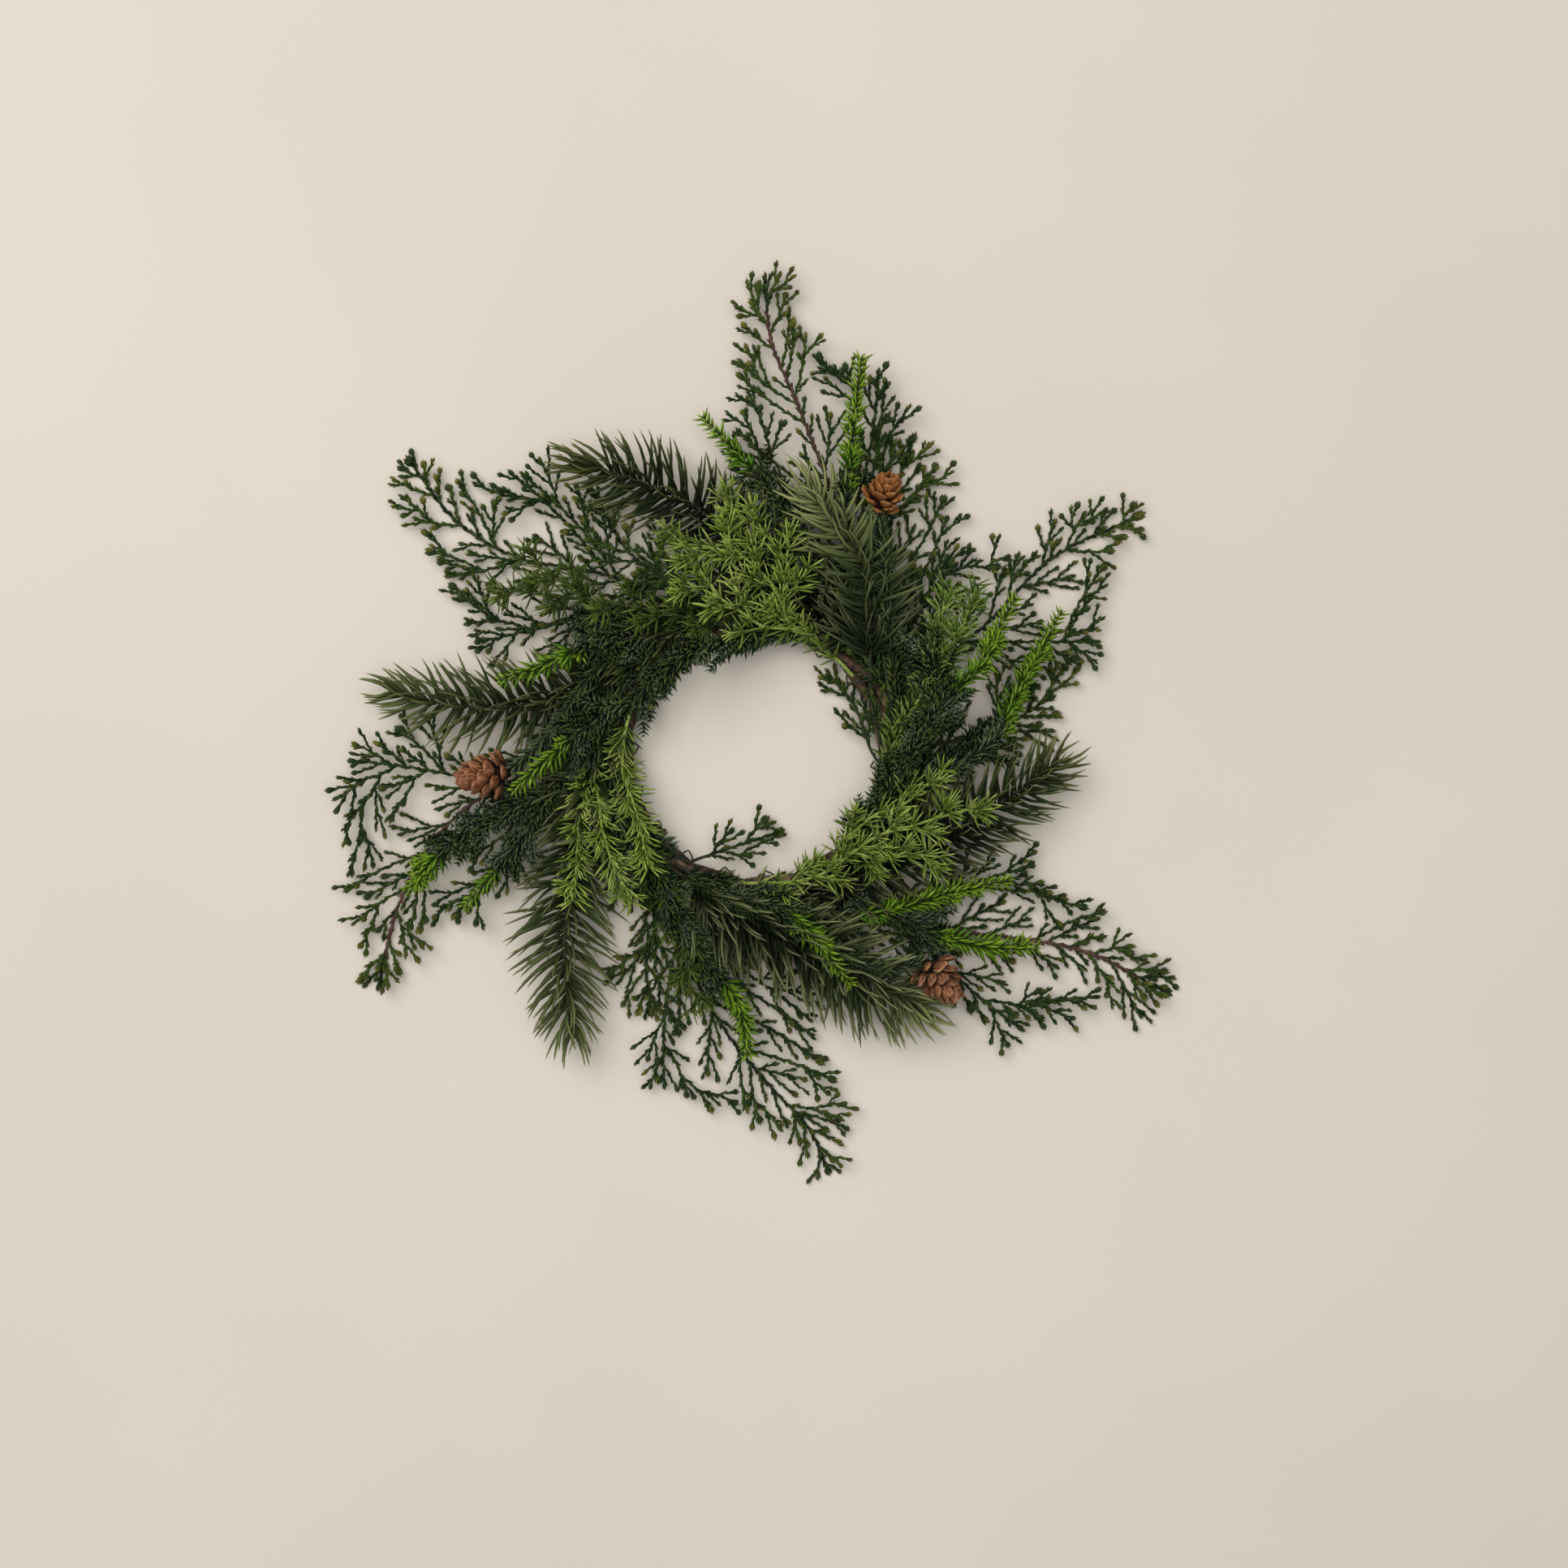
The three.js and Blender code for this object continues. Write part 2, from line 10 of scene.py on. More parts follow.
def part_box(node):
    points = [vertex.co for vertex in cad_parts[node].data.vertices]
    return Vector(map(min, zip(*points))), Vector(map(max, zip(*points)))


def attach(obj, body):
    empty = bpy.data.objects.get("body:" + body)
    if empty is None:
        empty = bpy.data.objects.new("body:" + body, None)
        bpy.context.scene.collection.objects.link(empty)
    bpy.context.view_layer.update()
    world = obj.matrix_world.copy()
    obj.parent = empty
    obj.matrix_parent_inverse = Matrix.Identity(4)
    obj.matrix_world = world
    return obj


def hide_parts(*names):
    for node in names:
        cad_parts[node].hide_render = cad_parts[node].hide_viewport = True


# Plan positions are millimetres from the middle of the vine ring, and heights are millimetres above the floor.
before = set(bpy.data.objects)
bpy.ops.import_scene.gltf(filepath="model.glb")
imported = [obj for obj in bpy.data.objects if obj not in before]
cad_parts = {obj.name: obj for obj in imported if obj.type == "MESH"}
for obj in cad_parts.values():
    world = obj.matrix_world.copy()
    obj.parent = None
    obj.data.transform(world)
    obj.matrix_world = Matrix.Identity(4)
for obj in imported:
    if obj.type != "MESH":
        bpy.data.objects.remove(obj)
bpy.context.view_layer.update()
scene = bpy.context.scene
mm = 0.001
up = Vector((0, 0, 1))

vineBoxes = [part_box(name) for name in ("vine_1", "vine_2", "vine_3")]
ringLow = Vector([min(low[i] for low, high in vineBoxes) for i in range(3)])
ringHigh = Vector([max(high[i] for low, high in vineBoxes) for i in range(3)])
ringMiddle = (ringLow + ringHigh) / 2
toFrame = Matrix.Translation((ringMiddle.x, ringMiddle.y, 0)) @ Matrix.Scale(mm, 4)

camera = dict(height=1625, lens=75, right=14.4, up=-14.4)  # straight above, at the photograph's distance


def meshOf(name, bm):
    mesh = bpy.data.meshes.new(name)
    bm.to_mesh(mesh)
    bm.free()
    return mesh


def place(name, data):
    # a new object in the scene
    made = bpy.data.objects.new(name, data)
    scene.collection.objects.link(made)
    return made


def setCamera():
    data = bpy.data.cameras.new("camera")
    data.lens = camera["lens"]
    scene.camera = place("camera", data)
    scene.camera.location = toFrame @ Vector((camera["right"], camera["up"], camera["height"]))


setCamera()
scene.view_settings.view_transform = "Standard"

# In metres. The light's colours are 0 to 1, and those of surfaces, here and below, are 0 to 255 as on a screen.
studio = dict(
    skyColour=(0.94, 0.97, 1.0), skyStrength=0.27, lampColour=(1.0, 0.975, 0.94),
    window=dict(place=(-1.25, 1.15, 2.4), size=2.2, power=45),
    ceiling=dict(place=(0, 0.05, 2.9), size=2.6, power=42),
    floor=dict(size=6, drop=0.0002, colours=((214, 206, 194), (219, 211, 200)), cloudScale=2.2, roughness=0.85),
)


class Socket:
    # one output of a material's node tree, with arithmetic on it
    def __init__(self, tree, socket=None):
        self.tree, self.socket = tree, socket

    def node(self, kind, settings=None, inputs=None, output=0):
        # any node, with its settings set first; a ramp's stops are one of them
        made = self.tree.nodes.new("ShaderNode" + kind)
        for name, value in (settings or {}).items():
            if name == "stops":
                while len(made.color_ramp.elements) < len(value):
                    made.color_ramp.elements.new(1)
                for stop, (at, colour) in zip(made.color_ramp.elements, value):
                    stop.position, stop.color = at, colour
            else:
                setattr(made, name, value)
        for name, value in (inputs or {}).items():
            if isinstance(value, Socket):
                self.tree.links.new(value.socket, made.inputs[name])
            else:
                made.inputs[name].default_value = value
        return Socket(self.tree, made.outputs[output])

    def maths(operation, swapped=False):
        # the method for one operation of a Math node
        def apply(self, other=0.0):
            inputs = {0: other, 1: self} if swapped else {0: self, 1: other}
            return self.node("Math", {"operation": operation}, inputs)
        return apply

    __abs__ = maths("ABSOLUTE")
    __add__ = __radd__ = maths("ADD")
    __mul__ = __rmul__ = maths("MULTIPLY")
    __sub__, __rsub__ = maths("SUBTRACT"), maths("SUBTRACT", swapped=True)

    def clamped(self):
        return self.node("Clamp", {}, {"Value": self})

    def between(self, low, high):
        # 0 where this is low, 1 where it is high
        inputs = {"Value": self, "From Min": low, "From Max": high}
        return self.node("MapRange", {"interpolation_type": "SMOOTHSTEP"}, inputs)

    def mixed(self, first, second):
        # first where this is 0, second where it is 1
        return self.node("Mix", {"data_type": "RGBA"}, {0: self, 6: first, 7: second}, 2)

    def noise(self, scale, detail=2.0, roughness=0.5, vector=None):
        vector = vector or self.node("TexCoord", output=3)
        inputs = {"Vector": vector, "Scale": scale, "Detail": detail, "Roughness": roughness}
        return self.node("TexNoise", {}, inputs)

    def attribute(self, name):
        return self.node("Attribute", {"attribute_name": name}, {}, 2)


def seen(colour):
    # a screen colour as the light it stands for
    light = (c / 255 / 12.92 if c < 11 else ((c / 255 + 0.055) / 1.055) ** 2.4 for c in colour)
    return tuple(min(1.0, c) for c in light) + (1.0,)


def lit(look, *names):
    # several of a look's colours as light
    return [seen(look[name]) for name in names]


def newFinish(name, gloss):
    material = bpy.data.materials.new(name)
    material.use_nodes = True
    tree = material.node_tree
    shader = tree.nodes["Principled BSDF"]
    shader.inputs["Specular IOR Level"].default_value = gloss
    return material, Socket(tree), shader


def connect(start, shader, colour, roughness, *bumps):
    # colour and roughness, and for bumps their height, strength and depth in metres
    sockets = {"Base Color": colour, "Roughness": roughness}
    if bumps:
        sockets["Normal"] = start.node("Bump", {}, dict(zip(("Height", "Strength", "Distance"), bumps)))
    for name, value in sockets.items():
        if isinstance(value, Socket):
            start.tree.links.new(value.socket, shader.inputs[name])
        else:
            shader.inputs[name].default_value = value


layers = ("tone", "place", "blade")  # a leaf's own shade, its place on the sprig, and base to tip along the leaf
leafSurface = dict(patchScale=55, patchAmount=0.35, speckScale=1400, speckAmount=0.3, grainScale=900, bump=0.35,
                   depth=0.0003)
# a look also sets how much darker each leaf is painted at its foot, as shade
usualLeaf = dict(tipFrom=(0.3, 1), tipAmount=0.45, variety=0.5, roughness=0.45, gloss=0.12, shaded=0.6, edges=0)
usualBark = dict(grain=700, scuffs=0.5, roughness=0.6, bump=0.5)


def foliageFinish(name, look):
    # colour along the sprig, along each leaf, and from leaf to leaf, with painted shade at each leaf's foot and,
    # where a look asks, a painted highlight along a needle's edges
    look = {**usualLeaf, **look}
    material, start, shader = newFinish(name, look["gloss"])
    tone, along, blade = (start.attribute(layer) for layer in layers)
    tipColour, pale, dark = lit(look, "tip", "pale", "dark")
    along = (along + (start.noise(leafSurface["patchScale"], 3) - 0.5) * leafSurface["patchAmount"]).clamped()
    stops = [(at, seen(colour)) for at, colour in look["alongSprig"]]
    ramp = start.node("ValToRGB", {"stops": stops}, {"Fac": along})
    colour = (blade.between(*look["tipFrom"]) * look["tipAmount"]).mixed(ramp, tipColour)
    if look["edges"]:  # painted highlight: paler along a needle's two edges
        colour = (abs(start.attribute("across")).between(0.45, 1.0) * look["edges"]).mixed(colour, tipColour)
    colour = (tone.between(0.55, 1.0) * look["variety"]).mixed(colour, pale)
    colour = (tone.between(0.45, 0.0) * look["variety"]).mixed(colour, dark)
    speck = start.noise(leafSurface["speckScale"], 2)
    shade = speck.between(0.3, 0.7) * leafSurface["speckAmount"] + (1 - leafSurface["speckAmount"] / 2)
    shade = shade * (blade.between(0.0, 0.75) * look["shaded"] + (1 - look["shaded"]))  # painted shade: darker at its foot, where the leaves around it would shade it
    colour = start.node("VectorMath", {"operation": "SCALE"}, {0: colour, 3: shade})
    grain = start.noise(leafSurface["grainScale"], 3)
    rough = (speck * 0.25 + look["roughness"]).clamped()
    connect(start, shader, colour, rough, grain, leafSurface["bump"], leafSurface["depth"])
    return material


def barkFinish(name, look):
    # dark in the furrows, with pale scuffs in broad patches
    look = {**usualBark, **look}
    material, start, shader = newFinish(name, 0.3)
    dark, main, pale = lit(look, "dark", "main", "pale")
    grain, broad = start.noise(look["grain"], 5, 0.65), start.noise(look["grain"] * 0.12, 3)
    colour = grain.between(0.35, 0.62).mixed(dark, main)
    colour = (broad.between(0.5, 0.68) * look["scuffs"]).mixed(colour, pale)
    connect(start, shader, colour, (grain * 0.25 + look["roughness"]).clamped(), grain, look["bump"], 0.0006)
    return material


def setStudio():
    scene.world = bpy.data.worlds.new("studio")
    scene.world.use_nodes = True
    sky = scene.world.node_tree.nodes["Background"].inputs
    sky["Color"].default_value = (*studio["skyColour"], 1)
    sky["Strength"].default_value = studio["skyStrength"]
    for name in ("window", "ceiling"):
        lamp = bpy.data.lights.new(name, "AREA")
        lamp.shape, lamp.size, lamp.energy = "DISK", studio[name]["size"], studio[name]["power"]
        lamp.color = studio["lampColour"]
        made = place(name, lamp)
        made.location = studio[name]["place"]
        made.rotation_euler = (-made.location).to_track_quat("-Z", "Y").to_euler()
    ground = studio["floor"]
    bm = bmesh.new()
    bmesh.ops.create_grid(bm, x_segments=1, y_segments=1, size=ground["size"] / 2)
    bmesh.ops.translate(bm, verts=bm.verts, vec=(0, 0, -ground["drop"]))
    mesh = meshOf("floor", bm)
    material, start, shader = newFinish("pale_floor", 0.2)
    mesh.materials.append(material)
    colour = start.noise(ground["cloudScale"], 4).between(0.3, 0.7).mixed(*map(seen, ground["colours"]))
    connect(start, shader, colour, ground["roughness"], start.noise(700, 3), 0.12, 0.0005)
    place("floor", mesh)


setStudio()
print("studio and camera set")


# Small shapes that are copied many times. Each points along Z with its broad side along X, in millimetres.
def spindle(sides, rings, sideways=0.0):
    # rings are (height, half width, half thickness, bend), and sideways is how far the bend goes along X too
    bm = bmesh.new()
    top = len(rings) - 1
    bmesh.ops.create_cone(bm, cap_ends=True, segments=sides, radius1=1, radius2=1, depth=top)
    upright = [edge for edge in bm.edges if abs(edge.verts[0].co.z - edge.verts[1].co.z) > 0.5]
    bmesh.ops.subdivide_edges(bm, edges=upright, cuts=len(rings) - 2, use_grid_fill=True)
    across = bm.verts.layers.float.new("across")
    for vert in bm.verts:
        vert[across] = vert.co.x
        height, width, thickness, bend = rings[round(vert.co.z + top / 2)]
        vert.co = (vert.co.x * width + bend * sideways, vert.co.y * thickness + bend * (1 - abs(sideways)), height)
    bmesh.ops.remove_doubles(bm, verts=bm.verts, dist=1e-5)
    return bm


def stampOf(name, bm, finish=0):
    # a shape made ready for press, with the number of its finish on the piece
    bmesh.ops.recalc_face_normals(bm, faces=bm.faces)
    for face in bm.faces:
        face.material_index, face.smooth = finish, True
    mesh = meshOf(name, bm)
    rest = np.empty(len(mesh.vertices) * 3, np.float32)
    mesh.vertices.foreach_get("co", rest)
    rest = rest.reshape(-1, 3)
    for layer in layers:
        mesh.attributes.new(layer, "FLOAT", "POINT")
    reach = max(1e-6, float(rest[:, 2].max()))
    mesh.attributes["blade"].data.foreach_set("value", np.clip(rest[:, 2] / reach, 0, 1).astype(np.float32))
    return mesh, rest


def clusterOf(name, sides, needles, finish=0):
    # a stamp of several spindles, each leaned over by angle towards around degrees from X, and lifted
    together = bmesh.new()
    for rings, angle, around, lift in needles:
        bm = spindle(sides, rings)
        turn = Matrix.Rotation(math.radians(around), 4, "Z") @ Matrix.Rotation(math.radians(angle), 4, "Y")
        bmesh.ops.transform(bm, matrix=Matrix.Translation((0, 0, lift)) @ turn, verts=bm.verts)
        mesh = meshOf("needle", bm)
        together.from_mesh(mesh)
        bpy.data.meshes.remove(mesh)
    return stampOf(name, together, finish)


def press(grown, stamp, point, forward, tone, along, width=1.0, thick=1.0, length=1.0, roll=0.0, over=up):
    # one copy of a stamp, joined to a growing piece
    left = over.cross(forward)
    left = left.normalized() if left.length > 1e-4 else Vector((1, 0, 0))
    top = forward.cross(left)
    turnedLeft = left * math.cos(roll) + top * math.sin(roll)
    turnedTop = top * math.cos(roll) - left * math.sin(roll)
    axes = np.array((turnedLeft * width, turnedTop * thick, forward * length), np.float32)
    mesh, rest = stamp
    places = rest @ axes + np.array(point, np.float32)
    places[:, 2] = np.maximum(places[:, 2], 0.1)  # nothing goes into the floor
    mesh.vertices.foreach_set("co", places.ravel())
    for layer, value in (("tone", tone), ("place", along)):
        mesh.attributes[layer].data.foreach_set("value", np.full(len(rest), value, np.float32))
    grown.from_mesh(mesh)


stemRings = [(-0.04, 0.96, 0.96, 0), (1.04, 1, 1, 0)]
segment, darkSegment = (stampOf("stem_segment", spindle(6, stemRings), finish) for finish in (1, 3))
stemStep, shootStep = 2, 2.2  # between the points of a line


def drawStem(grown, points, startRadius, endRadius, stamp=segment):
    for i, (start, end) in enumerate(zip(points, points[1:])):
        run = end - start
        radius = startRadius + (endRadius - startRadius) * i / max(1, len(points) - 2)
        press(grown, stamp, start, run.normalized(), 0.5, 0.0, radius, radius, run.length)


def turned(degrees):
    return math.cos(math.radians(degrees)), math.sin(math.radians(degrees))


def apart(point, spot):
    # how far a point is from x and y, seen from above
    return math.hypot(point.x - spot[0], point.y - spot[1])


def evenly(points, step=stemStep):
    # the same line with points at even steps
    runs = [0.0]
    for start, end in zip(points, points[1:]):
        runs.append(runs[-1] + (end - start).length)
    count = max(2, round(runs[-1] / step))
    line, i = [], 0
    for n in range(count + 1):
        target = runs[-1] * n / count
        while i < len(points) - 2 and runs[i + 1] < target:
            i += 1
        share = (target - runs[i]) / max(1e-9, runs[i + 1] - runs[i])
        line.append(points[i].lerp(points[i + 1], min(1.0, share)))
    return line


def smoothThrough(points):
    # the same centripetal curve that the model's stems follow
    before, after = points[0] * 2 - points[1], points[-1] * 2 - points[-2]
    knots = [before] + list(points) + [after]
    fine = []
    for a, b, c, d in zip(knots, knots[1:], knots[2:], knots[3:]):
        gaps = [max(1e-4, (q - p).length ** 0.5) for p, q in ((a, b), (b, c), (c, d))]
        leaving = ((b - a) / gaps[0] - (c - a) / (gaps[0] + gaps[1]) + (c - b) / gaps[1]) * gaps[1]
        coming = ((c - b) / gaps[1] - (d - b) / (gaps[1] + gaps[2]) + (d - c) / gaps[2]) * gaps[1]
        for n in range(16):
            t = n / 16
            fine.append(b * (2 * t**3 - 3 * t**2 + 1) + c * (3 * t**2 - 2 * t**3)
                        + leaving * (t**3 - 2 * t**2 + t) + coming * (t**3 - t**2))
    fine.append(points[-1])
    return evenly(fine)


def lengthOf(line):
    return sum((end - start).length for start, end in zip(line, line[1:]))


def placeOn(line, share):
    # a point on the line, and the way it runs there
    at = max(0.0, min(0.9999, share)) * (len(line) - 1)
    i = min(len(line) - 2, int(at))
    return line[i].lerp(line[i + 1], at - i), (line[i + 1] - line[i]).normalized()


def leaning(forward, angle, around):
    # leans off forward by angle, towards around degrees up from its left
    left = up.cross(forward).normalized()
    (onward, aside), (level, raised) = turned(angle), turned(around)
    return (forward * onward + (left * level + forward.cross(left) * raised) * aside).normalized()


def offFloor(point, direction, length, height=0.9):
    # the direction, raised where its end would go into the floor
    if point.z + direction.z * length < height:
        direction = direction.copy()
        direction.z = (height - point.z) / length
        direction.normalize()
    return direction


def bentLine(start, direction, length, bend, rise):
    # a short twig that bends sideways by bend and upwards by rise, in degrees over its length
    count = max(2, round(length / shootStep))
    line, heading = [start.copy()], direction.copy()
    for n in range(count):
        heading = leaning(heading, bend / count, 0)
        heading = (heading + up * math.radians(rise / count)).normalized()
        following = line[-1] + heading * length / count
        following.z = max(following.z, 1.1)
        line.append(following)
    return line


def shootsAlong(line, first, last, gap, offset):
    # where side shoots leave a line, to the right and left in turn
    count = int(lengthOf(line) * (last - first) / gap)
    for n in range(count):
        share = first + (last - first) * (n + offset) / max(1, count)
        yield share, *placeOn(line, share), 1 if n % 2 else -1


def sideShoot(point, forward, side, length, habit, dice):
    # a shoot to one side, whose needles clear the floor
    lean = leaning(forward, side * dice.uniform(*habit["angle"]), dice.uniform(*habit["upwards"]) * side)
    direction = offFloor(point, lean, length + habit["needles"], habit["floorGap"])
    return bentLine(point, direction, length, -side * habit["bend"], dice.uniform(*habit["rise"]))


ring = dict(radius=66, laneRadius=7.96, grip=10, heightInModel=8.46)  # the model's own numbers
settled = ring["heightInModel"] - ringMiddle.z / mm  # how far the model was lowered onto the floor


def roundTheRing(degrees, lane, reach):
    # a point reach from the ring's centre line, at lane degrees round it
    (x, y), (outwards, upwards) = turned(degrees), turned(lane)
    across = ring["radius"] + reach * outwards
    return Vector((across * x, across * y, ringMiddle.z / mm + reach * upwards))


def stemOf(sprig, tipHeight):
    # its cut end along the ring, then out through its points, rising evenly to its tip
    cuts = (sprig["cut"] + half * ring["grip"] for half in (-1, 0, 1))
    onRing = [roundTheRing(cut, sprig["lane"], ring["laneRadius"]) for cut in cuts]
    runs, last = [], onRing[2]
    for x, y in sprig["path"]:
        runs.append((runs[-1] if runs else 0) + math.hypot(x - last[0], y - last[1]))
        last = (x, y)
    outside = []
    for (x, y), run in zip(sprig["path"], runs):
        share = run / runs[-1]
        raised = sprig.get("lift", 0) * min(1, 2.2 * share)
        outside.append(Vector((x, y, onRing[2].z + (tipHeight - settled - onRing[2].z) * share + raised)))
    return smoothThrough(onRing + outside)


def forkOf(stem, fork, lift):
    # a second stem, from the first one's nearest point
    start = min(stem, key=lambda point: apart(point, fork[0]))
    through = []
    for i, (x, y) in enumerate(fork[1:], 1):
        share = i / (len(fork) - 1)
        through.append(Vector((x, y, start.z + 3 * share + lift * min(1, 1.6 * share))))
    return smoothThrough([start.copy()] + through)


def finishPiece(grown, node, finishes, suffix):
    bmesh.ops.transform(grown, matrix=toFrame, verts=grown.verts)
    made = place(node + suffix, meshOf(node + suffix, grown))
    for finish in finishes:
        made.data.materials.append(finish)
    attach(made, "root")
    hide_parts(node)


def growAll(kind, sprigs, grow, slotName, suffix):
    # one piece for each entry, named for its node and seeded by that name
    for where, sprig in sprigs.items():
        grown, name = bmesh.new(), kind + where
        finishes = grow(grown, sprig, random.Random(name))
        finishPiece(grown, name, finishes, suffix)
    print(len(sprigs), slotName, "pieces made")


# Cypress: flat sprays of scale-leaved twigs, each tip swollen and yellower.
# outside, inside: the bare share of a stem outside the ring or in its opening, its twigs' room, and their reach
# tries: the shares of its full length at which a twig is tried, until one has room
# crowding: the share of its room that a twig needs near the ring, how much more further out, from where, how far
cypress = dict(
    tipHeight=1.5, twigStep=4.9, twigAngle=33, scaleStep=2.3, girth=1.04, outside=(0.07, 3.1, 1),
    inside=(0.45, 4.2, 0.5), branchBare=0.15, stemRadii=(1.15, 0.5), twigSpread=8, stemTwig=28, branchTwig=24,
    shortestTwig=4, forkedTwig=12, tries=(1, 0.75, 0.5, 0.33), crowding=(0.55, 0.45, 100, 55), leafSize=1.05,
    endBud=1.2, branchBud=0.95, twigBud=0.8, branchAngle=32, branchLean=42,
    look=dict(
        alongSprig=[(0, (18, 34, 15)), (0.45, (30, 52, 22)), (0.8, (54, 76, 27)), (1, (88, 98, 34))],
        tip=(99, 107, 40), tipFrom=(0.5, 1), tipAmount=0.3, variety=0.55, pale=(78, 95, 38), dark=(14, 30, 13),
        roughness=0.5, shaded=0.3),
    budLook=dict(
        alongSprig=[(0, (35, 55, 24)), (0.5, (48, 71, 26)), (1, (91, 96, 33))], tip=(162, 138, 50), tipFrom=(0.6, 1),
        tipAmount=0.55, variety=0.6, pale=(119, 116, 42), dark=(30, 52, 21), gloss=0.2, shaded=0.45),
    twigBark=dict(grain=900, dark=(54, 34, 32), main=(88, 56, 50), pale=(124, 88, 76)),
    stemBark=dict(dark=(26, 34, 26), main=(44, 52, 38), pale=(70, 70, 52), scuffs=0.4),
)

# woody: the share of the stem from which its leaves are brown instead of green; tips: where its branches end
cypressSprays = {
    "spray_top": dict(
        path=[(58, 74), (34, 140), (20, 176), (8, 205), (5, 236)], lane=65, cut=-5.2, lift=6, woody=0.45,
        tips=[(1, 232), (-2, 224), (-5, 212), (-4, 201), (-7, 194), (-6, 186), (-3, 179), (-6, 169), (-8, 160),
              (-11, 154), (-2, 148), (12, 237), (15, 227), (17, 219), (19, 212), (25, 206), (30, 197), (33, 194),
              (40, 191), (45, 191), (61, 189), (64, 184), (65, 167), (52, 160), (10, 140), (62, 148)]),
    "spray_upper_right": dict(
        path=[(66, 75), (67, 110), (72, 138), (78, 156)], lane=-12, cut=-4.6,
        tips=[(59, 157), (68, 155), (72, 153), (86, 153), (89, 143), (85, 137), (85, 127), (93, 126), (95, 117),
              (95, 105), (82, 91), (54, 140), (52, 126), (88, 98)]),
    "spray_right": dict(
        path=[(92, 42), (118, 68), (148, 98), (189, 118)], lane=10, cut=-28.5,
        tips=[(187, 123), (173, 121), (163, 119), (150, 105), (138, 99), (130, 98), (125, 98), (119, 93), (108, 96),
              (97, 93), (87, 89), (82, 89), (191, 112), (181, 108), (175, 101), (172, 92), (166, 77), (171, 67),
              (169, 62), (169, 56), (157, 47), (159, 60), (150, 44), (140, 34)]),
    "spray_right_small": dict(
        path=[(98, 0), (124, 14), (146, 28)], lane=-34, cut=-48,
        tips=[(147, 40), (157, 47), (140, 15), (148, 20), (133, 8), (132, 36)]),
    "spray_lower_right": dict(
        path=[(62, -82), (92, -87), (130, -91), (165, -98), (203, -117)], lane=-12, cut=-106.9, woody=0.5,
        tips=[(137, -55), (141, -63), (145, -68), (152, -71), (161, -75), (171, -78), (172, -90), (185, -95),
              (193, -102), (202, -107), (200, -119), (192, -119), (180, -117), (168, -120), (160, -121),
              (151, -121), (144, -121), (141, -130), (131, -135), (113, -131), (106, -125), (150, -84), (133, -60),
              (128, -128)]),
    "spray_bottom": dict(
        path=[(-36, -98), (-14, -138), (8, -165), (27, -186), (36, -206)], lane=-1, cut=-165.1,
        tips=[(28, -139), (31, -151), (37, -160), (36, -167), (42, -180), (41, -192), (42, -203), (26, -198),
              (22, -192), (12, -184), (-4, -175), (-10, -172), (-22, -175), (-34, -168), (-45, -163), (-43, -147),
              (-38, -137), (18, -132), (27, -131), (2, -180)]),
    "spray_lower_left": dict(
        path=[(-50, -84), (-54, -104), (-52, -126)], lane=-34, cut=-166.6,
        tips=[(-67, -100), (-71, -108), (-65, -123), (-47, -127), (-43, -122), (-40, -113), (-58, -127)]),
    "spray_left": dict(
        path=[(-112, -8), (-140, -24), (-162, -46), (-177, -75), (-187, -114)], lane=87, cut=-234.7, woody=0.42,
        tips=[(-186, 5), (-199, -3), (-201, -13), (-206, -21), (-199, -30), (-203, -43), (-201, -58), (-202, -67),
              (-198, -83), (-195, -94), (-194, -109), (-182, -113), (-177, -106), (-173, -98), (-165, -86),
              (-158, -80), (-148, -79), (-141, -77), (-181, -31), (-183, -16), (-176, 12), (-132, -66), (-124, -52)]),
    "spray_upper_left": dict(
        path=[(-52, 84), (-85, 92), (-118, 98), (-148, 116), (-171, 145)], lane=-12, cut=78.2,
        tips=[(-164, 143), (-158, 137), (-147, 135), (-138, 134), (-129, 133), (-120, 139), (-103, 129), (-93, 110),
              (-152, 132), (-178, 136), (-174, 127), (-168, 117), (-162, 109), (-161, 101), (-155, 95), (-151, 89),
              (-149, 83), (-145, 78), (-142, 65), (-137, 56), (-114, 138), (-110, 62)]),
    "spray_upper_left_small": dict(
        path=[(-36, 86), (-60, 98), (-80, 129)], lane=87, cut=68.2,
        tips=[(-86, 117), (-88, 126), (-70, 122), (-64, 112), (-82, 106), (-52, 108), (-62, 84)]),
    "tip_inside_right": dict(
        path=[(57, 3), (50, 23), (37, 40)], lane=120, cut=-16.1, inside=True,
        tips=[(41, 21), (33, 38), (40, 42), (45, 14), (44, 34)]),
    "tip_inside_bottom": dict(
        path=[(-27, -51), (-12, -46), (10, -39)], lane=120, cut=-132, inside=True,
        tips=[(-12, -38), (4, -33), (-3, -50), (13, -40), (8, -34)]),
}

scaleRings = [(-0.4, 0.5, 0.5, 0), (1.1, 0.88, 0.8, 0.1), (2.2, 0.66, 0.62, 0.6), (3.5, 0.0, 0.0, 1.45)]
budRings = [(-0.2, 0.45, 0.4, 0), (1.5, 0.95, 0.7, 0.15), (3.4, 0.0, 0.0, 0.3)]
budScales = ((3, 0, 1.5), (24, 0, 1), (24, 180, 1), (22, 90, 0.8), (36, 20, 0.2), (36, 200, 0.2), (34, 270, 0))
greenScale, brownScale = (stampOf("cypress_scale", spindle(4, scaleRings), finish) for finish in (0, 1))
bud = clusterOf("cypress_bud", 4, [(budRings, *turn) for turn in budScales], 2)
cypressFinishes = [make(name, cypress[look]) for make, name, look in (
    (foliageFinish, "cypress_green", "look"), (barkFinish, "cypress_twig", "twigBark"),
    (foliageFinish, "cypress_bud_green", "budLook"), (barkFinish, "cypress_stem", "stemBark"))]


